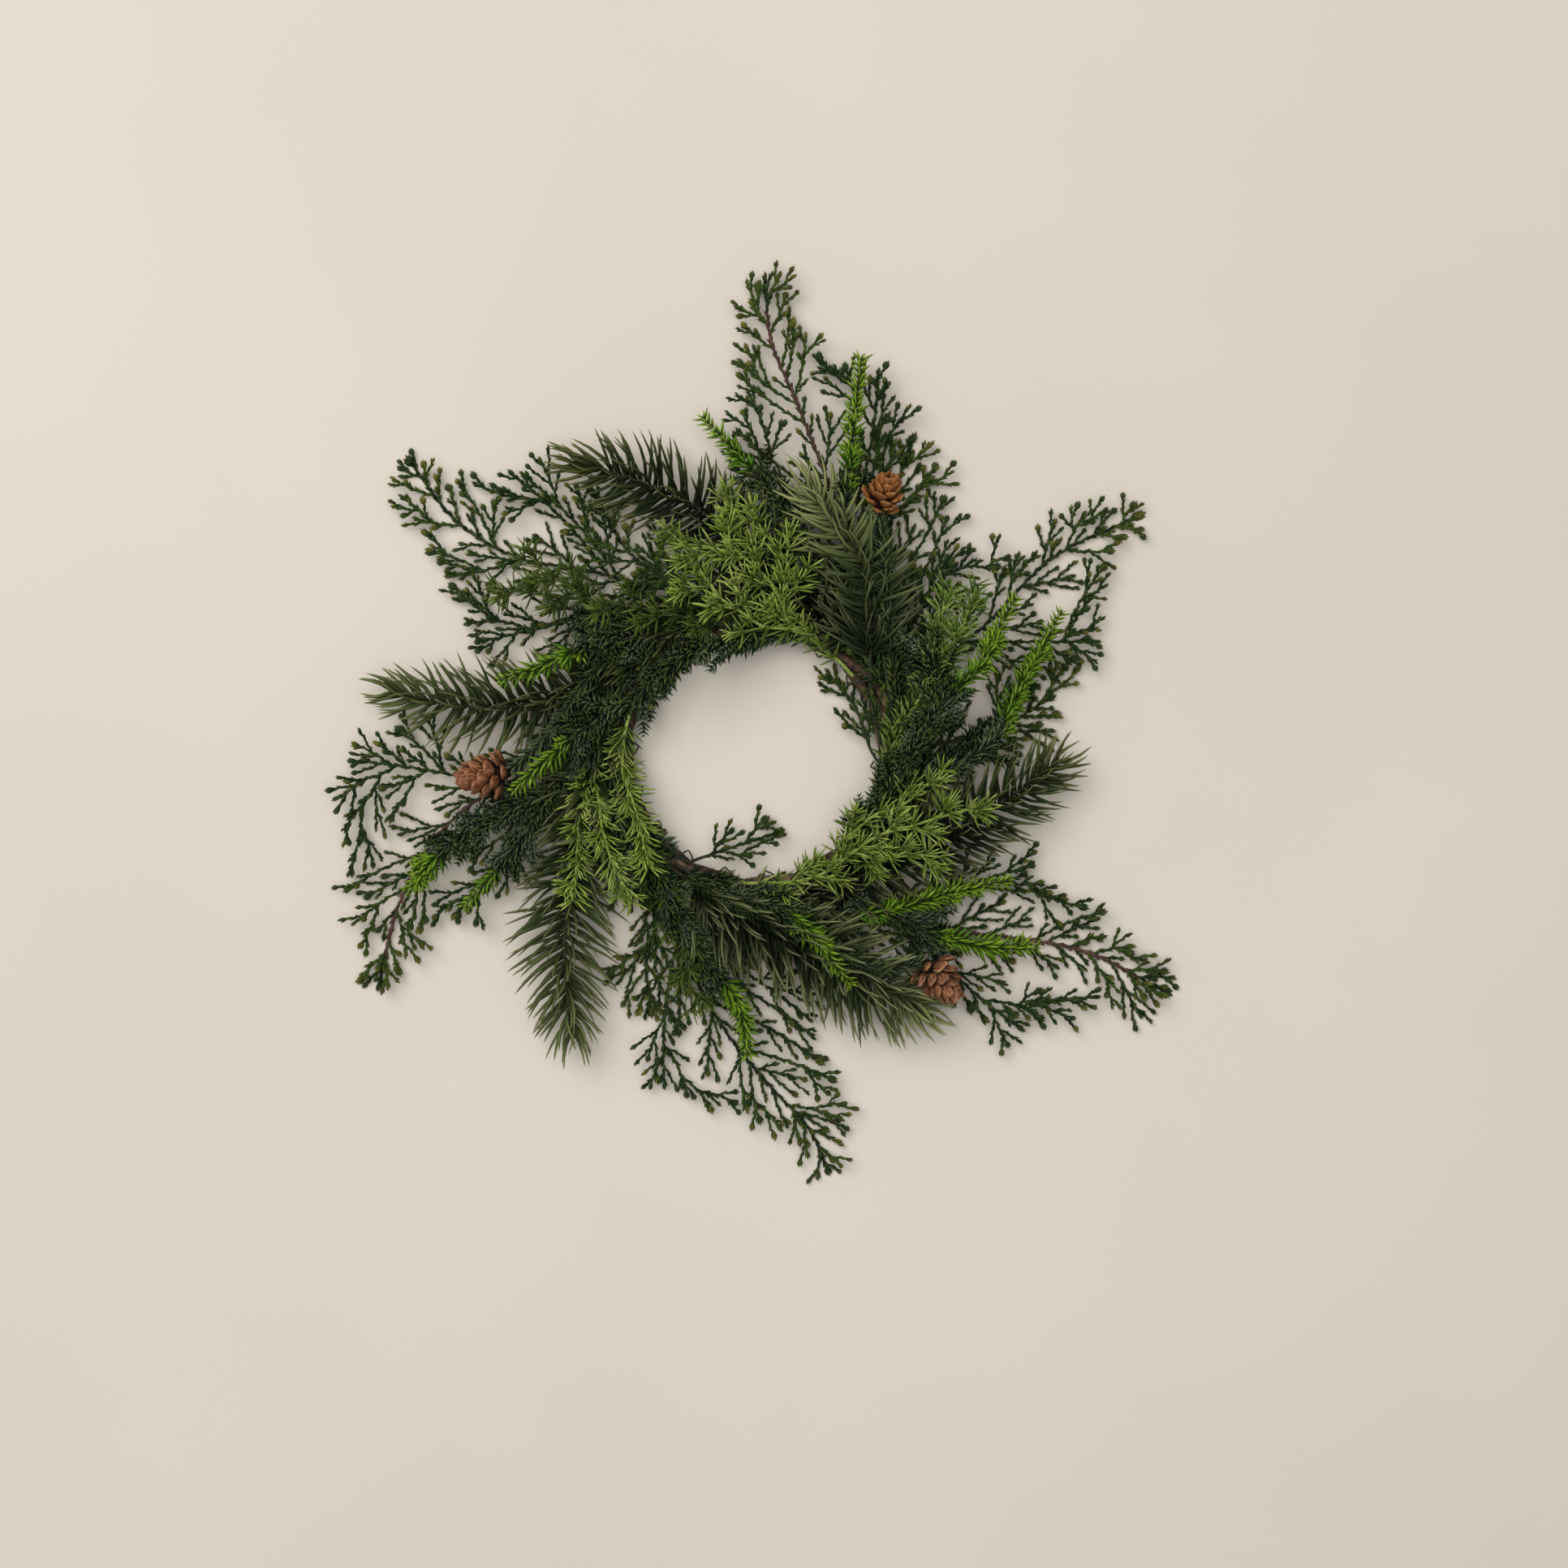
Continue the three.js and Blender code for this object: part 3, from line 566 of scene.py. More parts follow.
def coverTwig(grown, line, along, size, dice, budSize, brown=2.0):
    # scales along a twig, brown from a share of it on, and a swollen tip
    count = max(1, round(lengthOf(line) / (cypress["scaleStep"] * size)))
    for n in range(count):
        point, forward = placeOn(line, n / count)
        woody = brown < n / count < 0.93
        girth = cypress["girth"] * size * dice.uniform(0.85, 1.15) * (1.15 if woody else 1)
        press(grown, brownScale if woody else greenScale, point, forward, dice.random(),
              min(1, along + 0.12 * n / count), girth, girth, size * dice.uniform(0.9, 1.15),
              math.radians((90, -90, 0)[n % 3] + dice.uniform(-30, 30)))
    point, forward = placeOn(line, 1.0)
    girth = budSize * dice.uniform(0.8, 1.2)
    press(grown, bud, point - forward * 1.2, offFloor(point, forward, 4), dice.random(), along, girth, girth * 0.8,
          girth * dice.uniform(0.9, 1.2), dice.uniform(0, math.pi))


cell = 4  # of the grid that finds what stands near a point


def remember(taken, line):
    for point in line:
        taken.setdefault((int(point.x // cell), int(point.y // cell)), []).append((point.x, point.y))


def hasRoom(taken, line, room):
    # whether a twig keeps clear, seen from above, of what has grown before it
    for point in line[1:]:
        if (point - line[0]).length < room * 1.8:
            continue
        column, row = int(point.x // cell), int(point.y // cell)
        near = [spot for i in (-1, 0, 1) for j in (-1, 0, 1) for spot in taken.get((column + i, row + j), ())]
        if any(apart(point, spot) < room for spot in near):
            return False
    return True


def growTwigs(grown, taken, line, along, size, dice, reach, room, deeper=True):
    # alternate twigs to left and right, each as long as there is room for
    full = lengthOf(line)
    count = max(1, int(full / cypress["twigStep"]))
    side = dice.choice((1, -1))
    least, more, start, span = cypress["crowding"]
    for n in range(count):
        share = (n + 0.6 + dice.uniform(-0.15, 0.15)) / (count + 0.5)
        point, forward = placeOn(line, share)
        side = -side
        most = min(reach, (1 - share) * full * 0.85 + 5)
        crowded = room * (least + more * min(1, max(0, apart(point, (0, 0)) - start) / span))
        for part in cypress["tries"]:
            length = most * part
            angle = side * (cypress["twigAngle"] + dice.uniform(-cypress["twigSpread"], cypress["twigSpread"]))
            direction = offFloor(point, leaning(forward, angle, dice.uniform(-8, 18) * side), length)
            long, bend = length * dice.uniform(0.85, 1.1), -side * dice.uniform(4, 20)
            twig = bentLine(point, direction, long, bend, dice.uniform(-8, 10))
            if length >= cypress["shortestTwig"] and hasRoom(taken, twig, crowded):
                remember(taken, twig)
                coverTwig(grown, twig, along, size * 0.95, dice, cypress["twigBud"])
                if deeper and length > cypress["forkedTwig"]:
                    growTwigs(grown, taken, twig, along, size * 0.94, dice, length * 0.55, room * 0.85, False)
                break


def branchTo(lines, tip, dice):
    # a branch that leaves the stem, or a branch made before, where it can reach the tip at about the twigs' angle
    best, chosen = 1e9, None
    for line, along, first in lines:
        isStem = line is lines[0][0]
        for n, (start, following) in enumerate(zip(line, line[1:])):
            toTip = Vector((tip[0] - start.x, tip[1] - start.y, 0))
            if n < first * len(line) or toTip.length < 2 or (n > 0.7 * len(line) and not isStem):
                continue
            forward = (following - start).normalized()
            turn = math.degrees(toTip.angle(Vector((forward.x, forward.y, 0))))
            wrong = abs(turn - cypress["branchAngle"]) * 1.3 + toTip.length * 0.45
            if wrong < best:
                best, chosen = wrong, (start, forward, toTip, n / len(line) if isStem else along)
    start, forward, toTip, share = chosen
    end = Vector((tip[0], tip[1], max(1.2, start.z * 0.4 + dice.uniform(2.5, 7.5))))
    side = 1 if forward.cross(toTip).z > 0 else -1
    middle = start + leaning(forward, side * cypress["branchLean"], 10 * side) * toTip.length * 0.5
    middle.z = max(1.2, (start.z + end.z) / 2 + dice.uniform(0, 2))
    shares = [n / 10 for n in range(11)]
    points = [start * (1 - t) ** 2 + middle * 2 * t * (1 - t) + end * t**2 for t in shares]
    return evenly(points, shootStep), share


def growCypress(grown, spray, dice):
    stem = stemOf(spray, cypress["tipHeight"])
    bare, room, reach = cypress["inside" if spray.get("inside") else "outside"]
    drawStem(grown, stem, *cypress["stemRadii"], darkSegment)
    leafy = evenly(stem[int(len(stem) * bare):])
    woody = (spray.get("woody", 2.0) - bare) / (1 - bare)
    coverTwig(grown, leafy, bare, cypress["leafSize"], dice, cypress["endBud"], woody)
    taken, lines = {}, [(stem, 0, bare)]
    remember(taken, stem)
    for tip in sorted(spray["tips"], key=lambda tip: min(apart(point, tip) for point in stem), reverse=True):
        branch, share = branchTo(lines, tip, dice)
        lines.append((branch, share, cypress["branchBare"]))
        remember(taken, branch)
        coverTwig(grown, branch, share * 0.85, cypress["leafSize"], dice, cypress["branchBud"])
    growTwigs(grown, taken, leafy, 0.5, 1.0, dice, cypress["stemTwig"] * reach, room)
    for line, share, first in lines[1:]:
        growTwigs(grown, taken, line, share * 0.85, 1.0, dice, cypress["branchTwig"] * reach, room)
    return cypressFinishes


growAll("cypress_", cypressSprays, growCypress, "cypress", "_scales")

# Fir: long flat needles that sweep forward, mostly to both sides.
# angle, closing: how far needles lean off the stem, and how much less at its tip; topSpot: which of five is on top
# toOpening: how far inside the ring's middle line a long needle may end; curves: how far needles bend sideways
fir = dict(
    tipHeight=18, bare=0.14, needleStep=0.6, needleLength=34, needleWidth=0.94, stemRadii=(1.1, 0.6), angle=80,
    closing=44, topSpot=4, toOpening=7, curves=(4, 8, 12),
    bark=dict(dark=(28, 34, 24), main=(46, 50, 34), pale=(78, 74, 50)),
)

# a look's edges set how strong a painted highlight runs along its needles' edges
firLooks = {
    "olive": dict(
        alongSprig=[(0, (13, 24, 9)), (0.6, (22, 34, 14)), (0.85, (48, 62, 29)), (1, (96, 104, 56))],
        tip=(144, 144, 90), tipFrom=(0.55, 1), variety=0.4, pale=(74, 88, 46), dark=(10, 21, 8), roughness=0.42,
        shaded=0.8, edges=0.08),
    "moss": dict(
        alongSprig=[(0, (24, 37, 16)), (0.5, (50, 63, 31)), (0.8, (76, 88, 48)), (1, (100, 110, 64))],
        tip=(144, 146, 96), tipFrom=(0.5, 1), variety=0.4, pale=(92, 104, 62), dark=(22, 35, 15), shaded=0.7,
        edges=0.12),
    "mixed": dict(
        alongSprig=[(0, (14, 26, 10)), (0.5, (22, 35, 14)), (0.78, (58, 71, 36)), (1, (122, 130, 80))],
        tip=(160, 163, 112), tipFrom=(0.45, 1), tipAmount=0.5, pale=(120, 130, 84), dark=(16, 30, 12), gloss=0.15,
        shaded=0.7, edges=0.15),
    "sage": dict(
        alongSprig=[(0, (24, 38, 18)), (0.4, (42, 60, 29)), (0.62, (104, 117, 68)), (1, (156, 161, 106))],
        tip=(172, 174, 126), tipFrom=(0.4, 1), tipAmount=0.2, variety=0.25, pale=(132, 140, 88), dark=(36, 50, 24),
        gloss=0.15, edges=0.12),
}

firBranches = {
    "top": dict(
        path=[(54, 92), (42, 112), (27, 131)], lane=120, cut=11.5, lift=2, look="sage", width=1.25, bare=0.34),
    "upper_left": dict(
        path=[(-2, 102), (-28, 121), (-60, 136), (-89, 143)], lane=32, cut=37.6, look="olive", size=1.05),
    "left": dict(path=[(-80, 36), (-120, 24), (-152, 25), (-178, 31)], lane=21, cut=113.2, look="moss"),
    "lower_left": dict(
        path=[(-86, -40), (-93, -80), (-93, -110), (-90, -136)], lane=21, cut=-202.8, look="moss", size=1.12),
    "lower_right": dict(
        path=[(2, -84), (32, -99), (58, -112), (83, -124)], lane=32, cut=-121, look="mixed", width=1.2, step=0.45,
        size=1.16),
    "right": dict(path=[(88, -44), (108, -32), (130, -18), (149, -4)], lane=54, cut=-85.8, look="olive"),
}


def firNeedle(side, curve):
    # a needle that curves to the left or to the right
    rings = [(0, 0.5, 0.4, 0), (3, 0.95, 0.5, 0.01 * curve), (11, 1.0, 0.55, 0.15 * curve),
             (19, 0.82, 0.48, 0.46 * curve), (25, 0.46, 0.32, 0.8 * curve), (28, 0.0, 0.0, curve)]
    return stampOf("fir_needle", spindle(4, rings, 0.9 * side))


firNeedles = {side: [firNeedle(side, curve) for curve in fir["curves"]] for side in (1, -1)}
firBark = barkFinish("fir_twig", fir["bark"])
firFinishes = {look: [foliageFinish("fir_" + look, firLooks[look]), firBark] for look in firLooks}


def growFir(grown, branch, dice):
    stem = stemOf(branch, fir["tipHeight"])
    drawStem(grown, stem, *fir["stemRadii"])
    bare = branch.get("bare", fir["bare"])
    count = round(lengthOf(stem) * (1 - bare) / branch.get("step", fir["needleStep"]))
    width = branch.get("width", 1) - 1
    for n in range(count):
        share = (n / (count - 1)) ** 1.3  # closer together near the base
        point, forward = placeOn(stem, bare + (1 - bare) * share)
        # left, right, left, right and then one from the top, closing in towards the tip
        onTop, side = n % 5 == fir["topSpot"], 1 if n % 2 else -1
        around = dice.uniform(35, 80) if onTop else dice.gauss(6, 14)
        angle = (fir["angle"] - fir["closing"] * share**7) * dice.uniform(0.72, 1.12) * (0.8 if onTop else 1)
        size = branch.get("size", 1.0) * (1.0 - 0.42 * share**6 - (0.2 if onTop else 0)) * dice.uniform(0.78, 1.14)
        direction = leaning(forward, angle * side, around * side)
        end = point + direction * fir["needleLength"] * size
        if apart(end, (0, 0)) < ring["radius"] - fir["toOpening"]:
            size *= 0.55  # short where it would cross the opening
        direction = offFloor(point, direction, fir["needleLength"] * size, 1.2)
        girth = fir["needleWidth"] * (1 + width * min(1, 2 * share)) * dice.uniform(0.8, 1.2)
        press(grown, dice.choice(firNeedles[-side]), point, direction, dice.random(), share, girth, 1, size,
              math.radians(dice.uniform(-28, 28)))
    return firFinishes[branch["look"]]


growAll("fir_branch_", firBranches, growFir, "fir", "_needles")

# Juniper: plumes of short needles, blue-grey inside and bright green at the tip.
# inner, outer: a whorl's number of needles, their length, angle and half width; loose: how far it leans off the stem
juniper = dict(
    tipHeight=22, bare=0.08, whorlStep=2.85, shootStep=3.3, stemRadii=(0.95, 0.45), leafyTo=0.88, whorlSize=1.05,
    shootSize=0.8, inner=(5, 6.9, 47, 0.84), outer=(5, 9.2, 48, 1.05), innerLoose=17, outerLoose=8,
    innerShoot=(12, 28), outerShoot=(6, 10), outerSkipped=0.65,
    shoot=dict(angle=(22, 50), upwards=(-20, 35), needles=0, floorGap=2.2, bend=10, rise=(-4, 10)),
    look=dict(
        alongSprig=[(0, (19, 36, 19)), (0.15, (28, 51, 26)), (0.3, (54, 76, 54)), (0.45, (98, 115, 98)),
                    (0.52, (46, 80, 26)), (0.7, (91, 141, 28)), (1, (146, 184, 50))], tip=(182, 192, 98),
        tipFrom=(0.4, 1), tipAmount=0.32, variety=0.35, pale=(100, 122, 50), dark=(20, 38, 13), roughness=0.55,
        shaded=0.75),
    bark=dict(dark=(34, 36, 28), main=(52, 52, 38), pale=(80, 74, 54), scuffs=0.4),
)

# bright: the share of the stem from which it is bright green
juniperSprigs = {
    "inside_upper_left": dict(path=[(-25, 52), (-42, 40), (-50, 24)], lane=131, cut=70.6, lift=13, bright=2),
    "top": dict(path=[(44, 104), (46, 135), (49, 165), (52, 193)], lane=-34, cut=8, lift=9, bright=0.72, bare=0.64),
    "top_left": dict(path=[(20, 112), (-3, 142), (-15, 155), (-26, 166)], lane=10, cut=21.4, bright=0.8),
    "upper_left": dict(
        path=[(-60, 58), (-84, 52), (-104, 43), (-124, 36)], lane=-1, cut=106.4, lift=12, bright=0.68),
    "upper_left_dark": dict(path=[(-40, 66), (-66, 68), (-92, 64)], lane=-34, cut=102.6, bright=2),
    "left": dict(path=[(-74, 20), (-90, 6), (-104, -5), (-117, -17)], lane=109, cut=144.6, lift=9, bright=0.66),
    "lower_left": dict(
        path=[(-98, -12), (-110, -36), (-124, -54), (-142, -74)], lane=-1, cut=-224.5, bright=0.85,
        forks=[([(-104, -22), (-128, -30), (-156, -50), (-172, -68)], 0, 0.7)]),
    "bottom": dict(path=[(-36, -80), (-24, -100), (-8, -122), (-3, -148)], lane=76, cut=-157.8, lift=1, bright=0.72),
    "bottom_right": dict(
        path=[(-14, -68), (6, -72), (24, -84), (48, -114)], lane=87, cut=-116.7, lift=3, bright=0.55),
    "lower_right": dict(
        path=[(36, -78), (66, -77), (95, -68), (125, -62)], lane=10, cut=-101.8, bright=0.5,
        forks=[([(66, -77), (88, -88), (112, -94), (140, -95)], 0, 0.35)]),
    "right": dict(path=[(92, -8), (114, 4), (132, 36), (151, 71)], lane=98, cut=-43.8, bright=0.62),
    "right_inner": dict(
        path=[(88, 20), (108, 42), (118, 60), (127, 76)], lane=76, cut=-58.2, lift=15, bright=0.68,
        forks=[([(88, 20), (88, 38), (80, 56)], 0, 2)]),
}


def juniperStamp(kind, finish=0):
    # a whorl of needles round the stem, short and shaggy inside, longer at the bright tip
    count, length, angle, girth = juniper[kind]
    needles = []
    for n in range(count):
        long = length * (1 + 0.16 * math.sin(n * 2.4))
        rings = [(0, girth * 0.7, girth * 0.45, 0), (long * 0.5, girth, girth * 0.55, 0.1), (long, 0.0, 0.0, -0.35)]
        around = 360 * n / count + 11 * math.sin(n * 3.1)
        needles.append((rings, angle + 7 * math.cos(n * 1.9), around, 0.2 * (n % 3)))
    return clusterOf("juniper_whorl_" + kind, 3, needles, finish)


innerWhorl, outerWhorl, twigWhorl = juniperStamp("inner"), juniperStamp("outer"), juniperStamp("inner", 2)
juniperFinishes = [foliageFinish("juniper_green", juniper["look"]), barkFinish("juniper_twig", juniper["bark"])]


def plume(grown, line, share, bright, size, dice, flat=0.8):
    # whorls from a share of the line on, bright from another, and thinner towards its end
    full, shade = max(1, lengthOf(line)), dice.uniform(0.05, 0.42)
    while share <= 1:
        point, forward = placeOn(line, share)
        shining = share > bright
        share += juniper["whorlStep"] * size * (0.95 if shining else 1) / full
        taperFrom = 0.75 if shining else 0.85
        taper = 1 - 0.35 * max(0, share - taperFrom) / (0.25 if shining else 0.15)
        girth = size * taper * dice.uniform(0.78, 1.2)
        along = 0.68 + 0.32 * min(1, (share - bright) / max(0.05, 1 - bright)) if shining else shade
        room = 0.3 + min(1.0, max(0.0, (point.z - 1.4) / 3.5)) * 0.7  # flatter near the floor
        loose = juniper["outerLoose" if shining else "innerLoose"]
        forward = leaning(forward, dice.uniform(-loose, loose), dice.uniform(-35, 35))
        press(grown, outerWhorl if shining else innerWhorl, point, forward, dice.random(), along,
              girth, girth * flat * room, girth, dice.uniform(-0.5, 0.5))


def growJuniper(grown, sprig, dice):
    stem = stemOf(sprig, juniper["tipHeight"])
    lines = [(stem, sprig.get("bare", juniper["bare"]), sprig["bright"])]
    lines += [(forkOf(stem, fork, lift), 0.0, bright) for fork, lift, bright in sprig.get("forks", [])]
    for line, bare, bright in lines:
        drawStem(grown, line, *juniper["stemRadii"])
        plume(grown, line, bare, bright, juniper["whorlSize"], dice)
        for share, point, forward, side in shootsAlong(line, bare, juniper["leafyTo"], juniper["shootStep"], 0.5):
            shining = share > bright - 0.04
            inner = 1 if shining else 1.05 - 0.4 * share  # shorter towards the tip
            length = dice.uniform(*juniper["outerShoot" if shining else "innerShoot"]) * inner
            if shining and dice.random() < juniper["outerSkipped"]:
                continue
            shoot = sideShoot(point, forward, side, length, juniper["shoot"], dice)
            plume(grown, shoot, 0.1, 0.0 if shining else 2, juniper["shootSize"], dice, flat=0.55)
    return juniperFinishes


growAll("juniper_sprig_", juniperSprigs, growJuniper, "juniper", "_plume")

# Deodar: light stems with tufts of slim straight needles.
# tuft, pair: the angles of a cluster's needles; pairAround: the sides to which a flat pair's needles point
deodar = dict(
    tipHeight=28, lowTipHeight=19, bare=0.12, tuftStep=9.2, pairStep=4.1, strandShoot=(14, 11), needleLength=12,
    stemRadii=(1, 0.6), shootRadii=(0.65, 0.5), shootBare=0.35, shootSize=0.98, strandSize=0.8,
    tuft=(16, 60, 44, 68, 30, 56, 50, 72, 62), pair=(64, 70, 50, 56, 36, 42), pairAround=(0, 180, 45, 135, 20, 160),
    shoot=dict(angle=(32, 48), upwards=(-10, 30), needles=8, floorGap=3, bend=12, rise=(-6, 8)),
    paleBark=dict(dark=(104, 124, 50), main=(138, 160, 72), pale=(162, 178, 98), roughness=0.55, bump=0.3),
    darkBark=dict(dark=(38, 48, 22), main=(60, 74, 32), pale=(92, 104, 50), bump=0.3),
    light=dict(
        alongSprig=[(0, (106, 138, 48)), (0.4, (134, 166, 58)), (1, (156, 184, 70))], tip=(190, 202, 112),
        tipAmount=0.5, variety=0.6, pale=(188, 200, 112), dark=(70, 98, 38), roughness=0.42, gloss=0.25, shaded=0.65),
    soft=dict(
        alongSprig=[(0, (66, 96, 32)), (0.4, (98, 132, 46)), (1, (126, 156, 60))], tip=(160, 176, 104),
        pale=(154, 170, 98), dark=(56, 80, 32), gloss=0.2),
    deep=dict(
        alongSprig=[(0, (52, 70, 27)), (0.5, (73, 94, 33)), (1, (96, 118, 42))], tip=(119, 139, 55), tipAmount=0.4,
        pale=(123, 139, 56), dark=(48, 66, 27), gloss=0.22, shaded=0.5),
)

# shoots: how far apart its side shoots stand, and how long they are; without them it is a hanging strand
deodarSprigs = {
    "top": dict(
        path=[(30, 58), (17, 62), (14, 72), (8, 84), (-8, 99), (-17, 108)], lane=120, cut=48.6, lift=5,
        shoots=(9, 17), forks=[([(17, 62), (4, 63), (-4, 68), (-20, 78), (-33, 84)], 7.5),
                               ([(14, 72), (16, 92), (7, 106), (-3, 114), (-16, 125)], 0),
                               ([(-8, 99), (-21, 97), (-29, 100), (-43, 104)], 0)]),
    "left": dict(
        path=[(-74, 3), (-80, -6), (-85, -17), (-87, -40), (-88, -70)], lane=-34, cut=158.6, shoots=None,
        forks=[([(-80, -6), (-77, -22), (-74, -40), (-68, -56), (-60, -71)], 15.5)]),
    "left_inner": dict(
        path=[(-65, -10), (-60, -22), (-56, -36), (-52, -54)], lane=98, cut=-191.3, lift=2, shoots=None),
    "lower_right": dict(
        path=[(22, -62), (36, -57), (48, -48), (60, -40), (80, -34), (112, -24)], lane=109, cut=-94.5, lift=8,
        shoots=(13, 14), forks=[([(36, -57), (47, -40), (60, -29), (72, -25), (91, -8)], 0),
                                ([(48, -48), (60, -51), (78, -49), (91, -50)], 0)]),
    "upper_right": dict(
        path=[(76, 20), (84, 34), (90, 58), (93, 80)], lane=87, cut=-10, lift=9, shoots=None, look="soft",
        forks=[([(84, 34), (98, 54), (108, 82)], 0)]),
    "upper_left": dict(
        path=[(-46, 70), (-80, 76), (-104, 78), (-126, 82)], lane=109, cut=86.3, lift=9, shoots=(12, 14), look="deep",
        low=True, forks=[([(-80, 76), (-98, 88), (-112, 95)], 0)]),
    "bottom": dict(
        path=[(-42, -74), (-33, -100), (-31, -124)], lane=54, cut=-160.2, shoots=(12, 12), look="deep", low=True),
}


def deodarStamp(style, kind):
    # a tuft of needles that opens forwards, or a flat pair for the hanging strands
    needles = []
    for n, angle in enumerate(deodar[style]):
        long = deodar["needleLength"] * (1 + 0.14 * math.sin(n * 2.1 + kind)) * (1 if style == "tuft" else 1.06)
        rings = [(0, 0.36, 0.3, 0), (long * 0.3, 0.64, 0.46, 0.1), (long * 0.75, 0.54, 0.4, 0.2), (long, 0, 0, 0.1)]
        around = 360 * n / len(deodar[style]) + 20 * math.sin(n * 1.7 + kind)
        if style == "pair":
            around = deodar["pairAround"][n] + 14 * math.sin(n + kind * 2)
        needles.append((rings, angle + 6 * math.cos(kind * 2 + n), around, 0.4 * (n % 3)))
    return clusterOf("deodar_" + style, 3, needles)


deodarStamps = {style: [deodarStamp(style, kind) for kind in range(3)] for style in ("tuft", "pair")}
deodarBarks = {look: barkFinish("deodar_twig_" + look, deodar[look + "Bark"]) for look in ("pale", "dark")}
deodarFinishes = {look: [foliageFinish("deodar_" + look, deodar[look]), deodarBarks[bark]]
                  for look, bark in (("light", "pale"), ("soft", "pale"), ("deep", "dark"))}


def tuftLine(grown, line, bare, size, dice, strand):
    style, spread = ("pair", (-0.9, 0.9)) if strand else ("tuft", (0, 2 * math.pi))
    count = max(2, round(lengthOf(line) * (1 - bare) / (deodar[style + "Step"] * size)))
    for n in range(count + 1):
        share = bare + (1 - bare) * n / count
        point, forward = placeOn(line, share)
        girth = size * dice.uniform(0.85, 1.12) * (1 - 0.2 * share**3)
        roll = dice.uniform(*spread)
        press(grown, dice.choice(deodarStamps[style]), point, forward, dice.random(), 0.25 + 0.75 * share,
              girth, girth * 0.9, girth, roll)


def growDeodar(grown, sprig, dice):
    stem = stemOf(sprig, deodar["lowTipHeight" if sprig.get("low") else "tipHeight"])
    lines = [(stem, deodar["bare"])] + [(forkOf(stem, fork, lift), 0.0) for fork, lift in sprig.get("forks", [])]
    strand = not sprig["shoots"]
    gap, most = deodar["strandShoot"] if strand else sprig["shoots"]
    for line, bare in lines:
        drawStem(grown, line, *deodar["stemRadii"])
        tuftLine(grown, line, bare, 1.0, dice, strand)
        for share, point, forward, side in shootsAlong(line, bare, 1, gap, 0.3):
            length = most * dice.uniform(0.7, 1.15) * (1.1 - 0.45 * share)
            shoot = sideShoot(point, forward, side, length, deodar["shoot"], dice)
            drawStem(grown, shoot, *deodar["shootRadii"])
            tuftLine(grown, shoot, deodar["shootBare"], deodar["strandSize" if strand else "shootSize"], dice, strand)
    return deodarFinishes[sprig.get("look", "light")]


growAll("deodar_sprig_", deodarSprigs, growDeodar, "deodar", "_tufts")

# Cones: rounded woody scales in a spiral, spread at the base and closed at the tip.
# openAngle, closing: how far scales lean off the axis, and how much less at its tip
pineCone = dict(
    tipHeight=22, scales=32, goldenTurn=137.5, needleStep=2, twigRadius=1, openAngle=82, closing=60, coreLength=11.5,
    baseScale=0.85,
    bark=dict(dark=(40, 34, 26), main=(62, 52, 38), pale=(88, 74, 54), scuffs=0.4, roughness=0.7, bump=0.6),
)

# axis: the way it points; spread: how far open it is; main, edge, deep: its scales' colour, a paler one for their
# rims as a painted highlight, and a darker one for their feet as a painted shade
pineCones = {
    "top": dict(
        path=[(66, 64), (64, 98), (60, 121)], lane=32, cut=-0.3, axis=(0.3, 0.62, 0.72), size=1.1, spread=0.96,
        main=(150, 90, 42), edge=(198, 142, 86), deep=(40, 20, 8)),
    "left": dict(
        path=[(-74, 44), (-102, 8), (-121, -9)], lane=65, cut=104.5, lift=2, axis=(-0.93, -0.12, 0.36), size=1.28,
        spread=1.05, main=(134, 80, 48), edge=(190, 138, 100), deep=(34, 18, 10)),
    "lower_right": dict(
        path=[(18, -86), (60, -104), (84, -102)], lane=65, cut=-120.8, axis=(0.62, -0.7, 0.34), size=1.2, spread=1.05,
        main=(130, 78, 46), edge=(196, 148, 112), deep=(34, 18, 10)),
}

coneScaleRings = [
    (0, 0.9, 0.6, 0), (2.4, 1.6, 0.9, 0.05), (4.4, 2.5, 1.2, 0.2), (6.2, 3.2, 1.35, 0.5), (7.8, 3.6, 1.3, 0.95),
    (9.2, 3.5, 1.1, 1.5), (10.3, 2.9, 0.8, 2), (11, 1.9, 0.5, 2.4), (11.3, 0, 0, 2.6)]


def coneScale(kind):
    # a narrow stalk that widens to a plump ribbed end with an uneven rim
    bm = spindle(22, coneScaleRings)
    for vert in bm.verts:
        x, far = vert.co.x, max(0.0, vert.co.z - 3) / 8
        outer = 1 if vert.co.y < 0.25 * vert.co.z - 0.4 else 0.3
        vert.co.y += 0.06 * x**2 + outer * far * 0.22 * math.sin(x * 3.1 + kind * 1.9)
        vert.co.z += far**4 * (0.5 * math.sin(x * 1.9 + kind * 2.3) + 0.25 * math.sin(x * 5.2 + kind))
    return stampOf("cone_scale", bm)


coneScales = [coneScale(kind) for kind in range(4)]
coneCoreRings = [(-1, 1.5, 1.5, 0), (4, 3.6, 3.6, 0), (13, 2.8, 2.8, 0), (18, 0, 0, 0)]
coneCore = stampOf("cone_core", spindle(10, coneCoreRings))
coneTwig = [barkFinish("cone_twig", pineCone["bark"]), foliageFinish("cone_twig_needles", juniper["look"])]


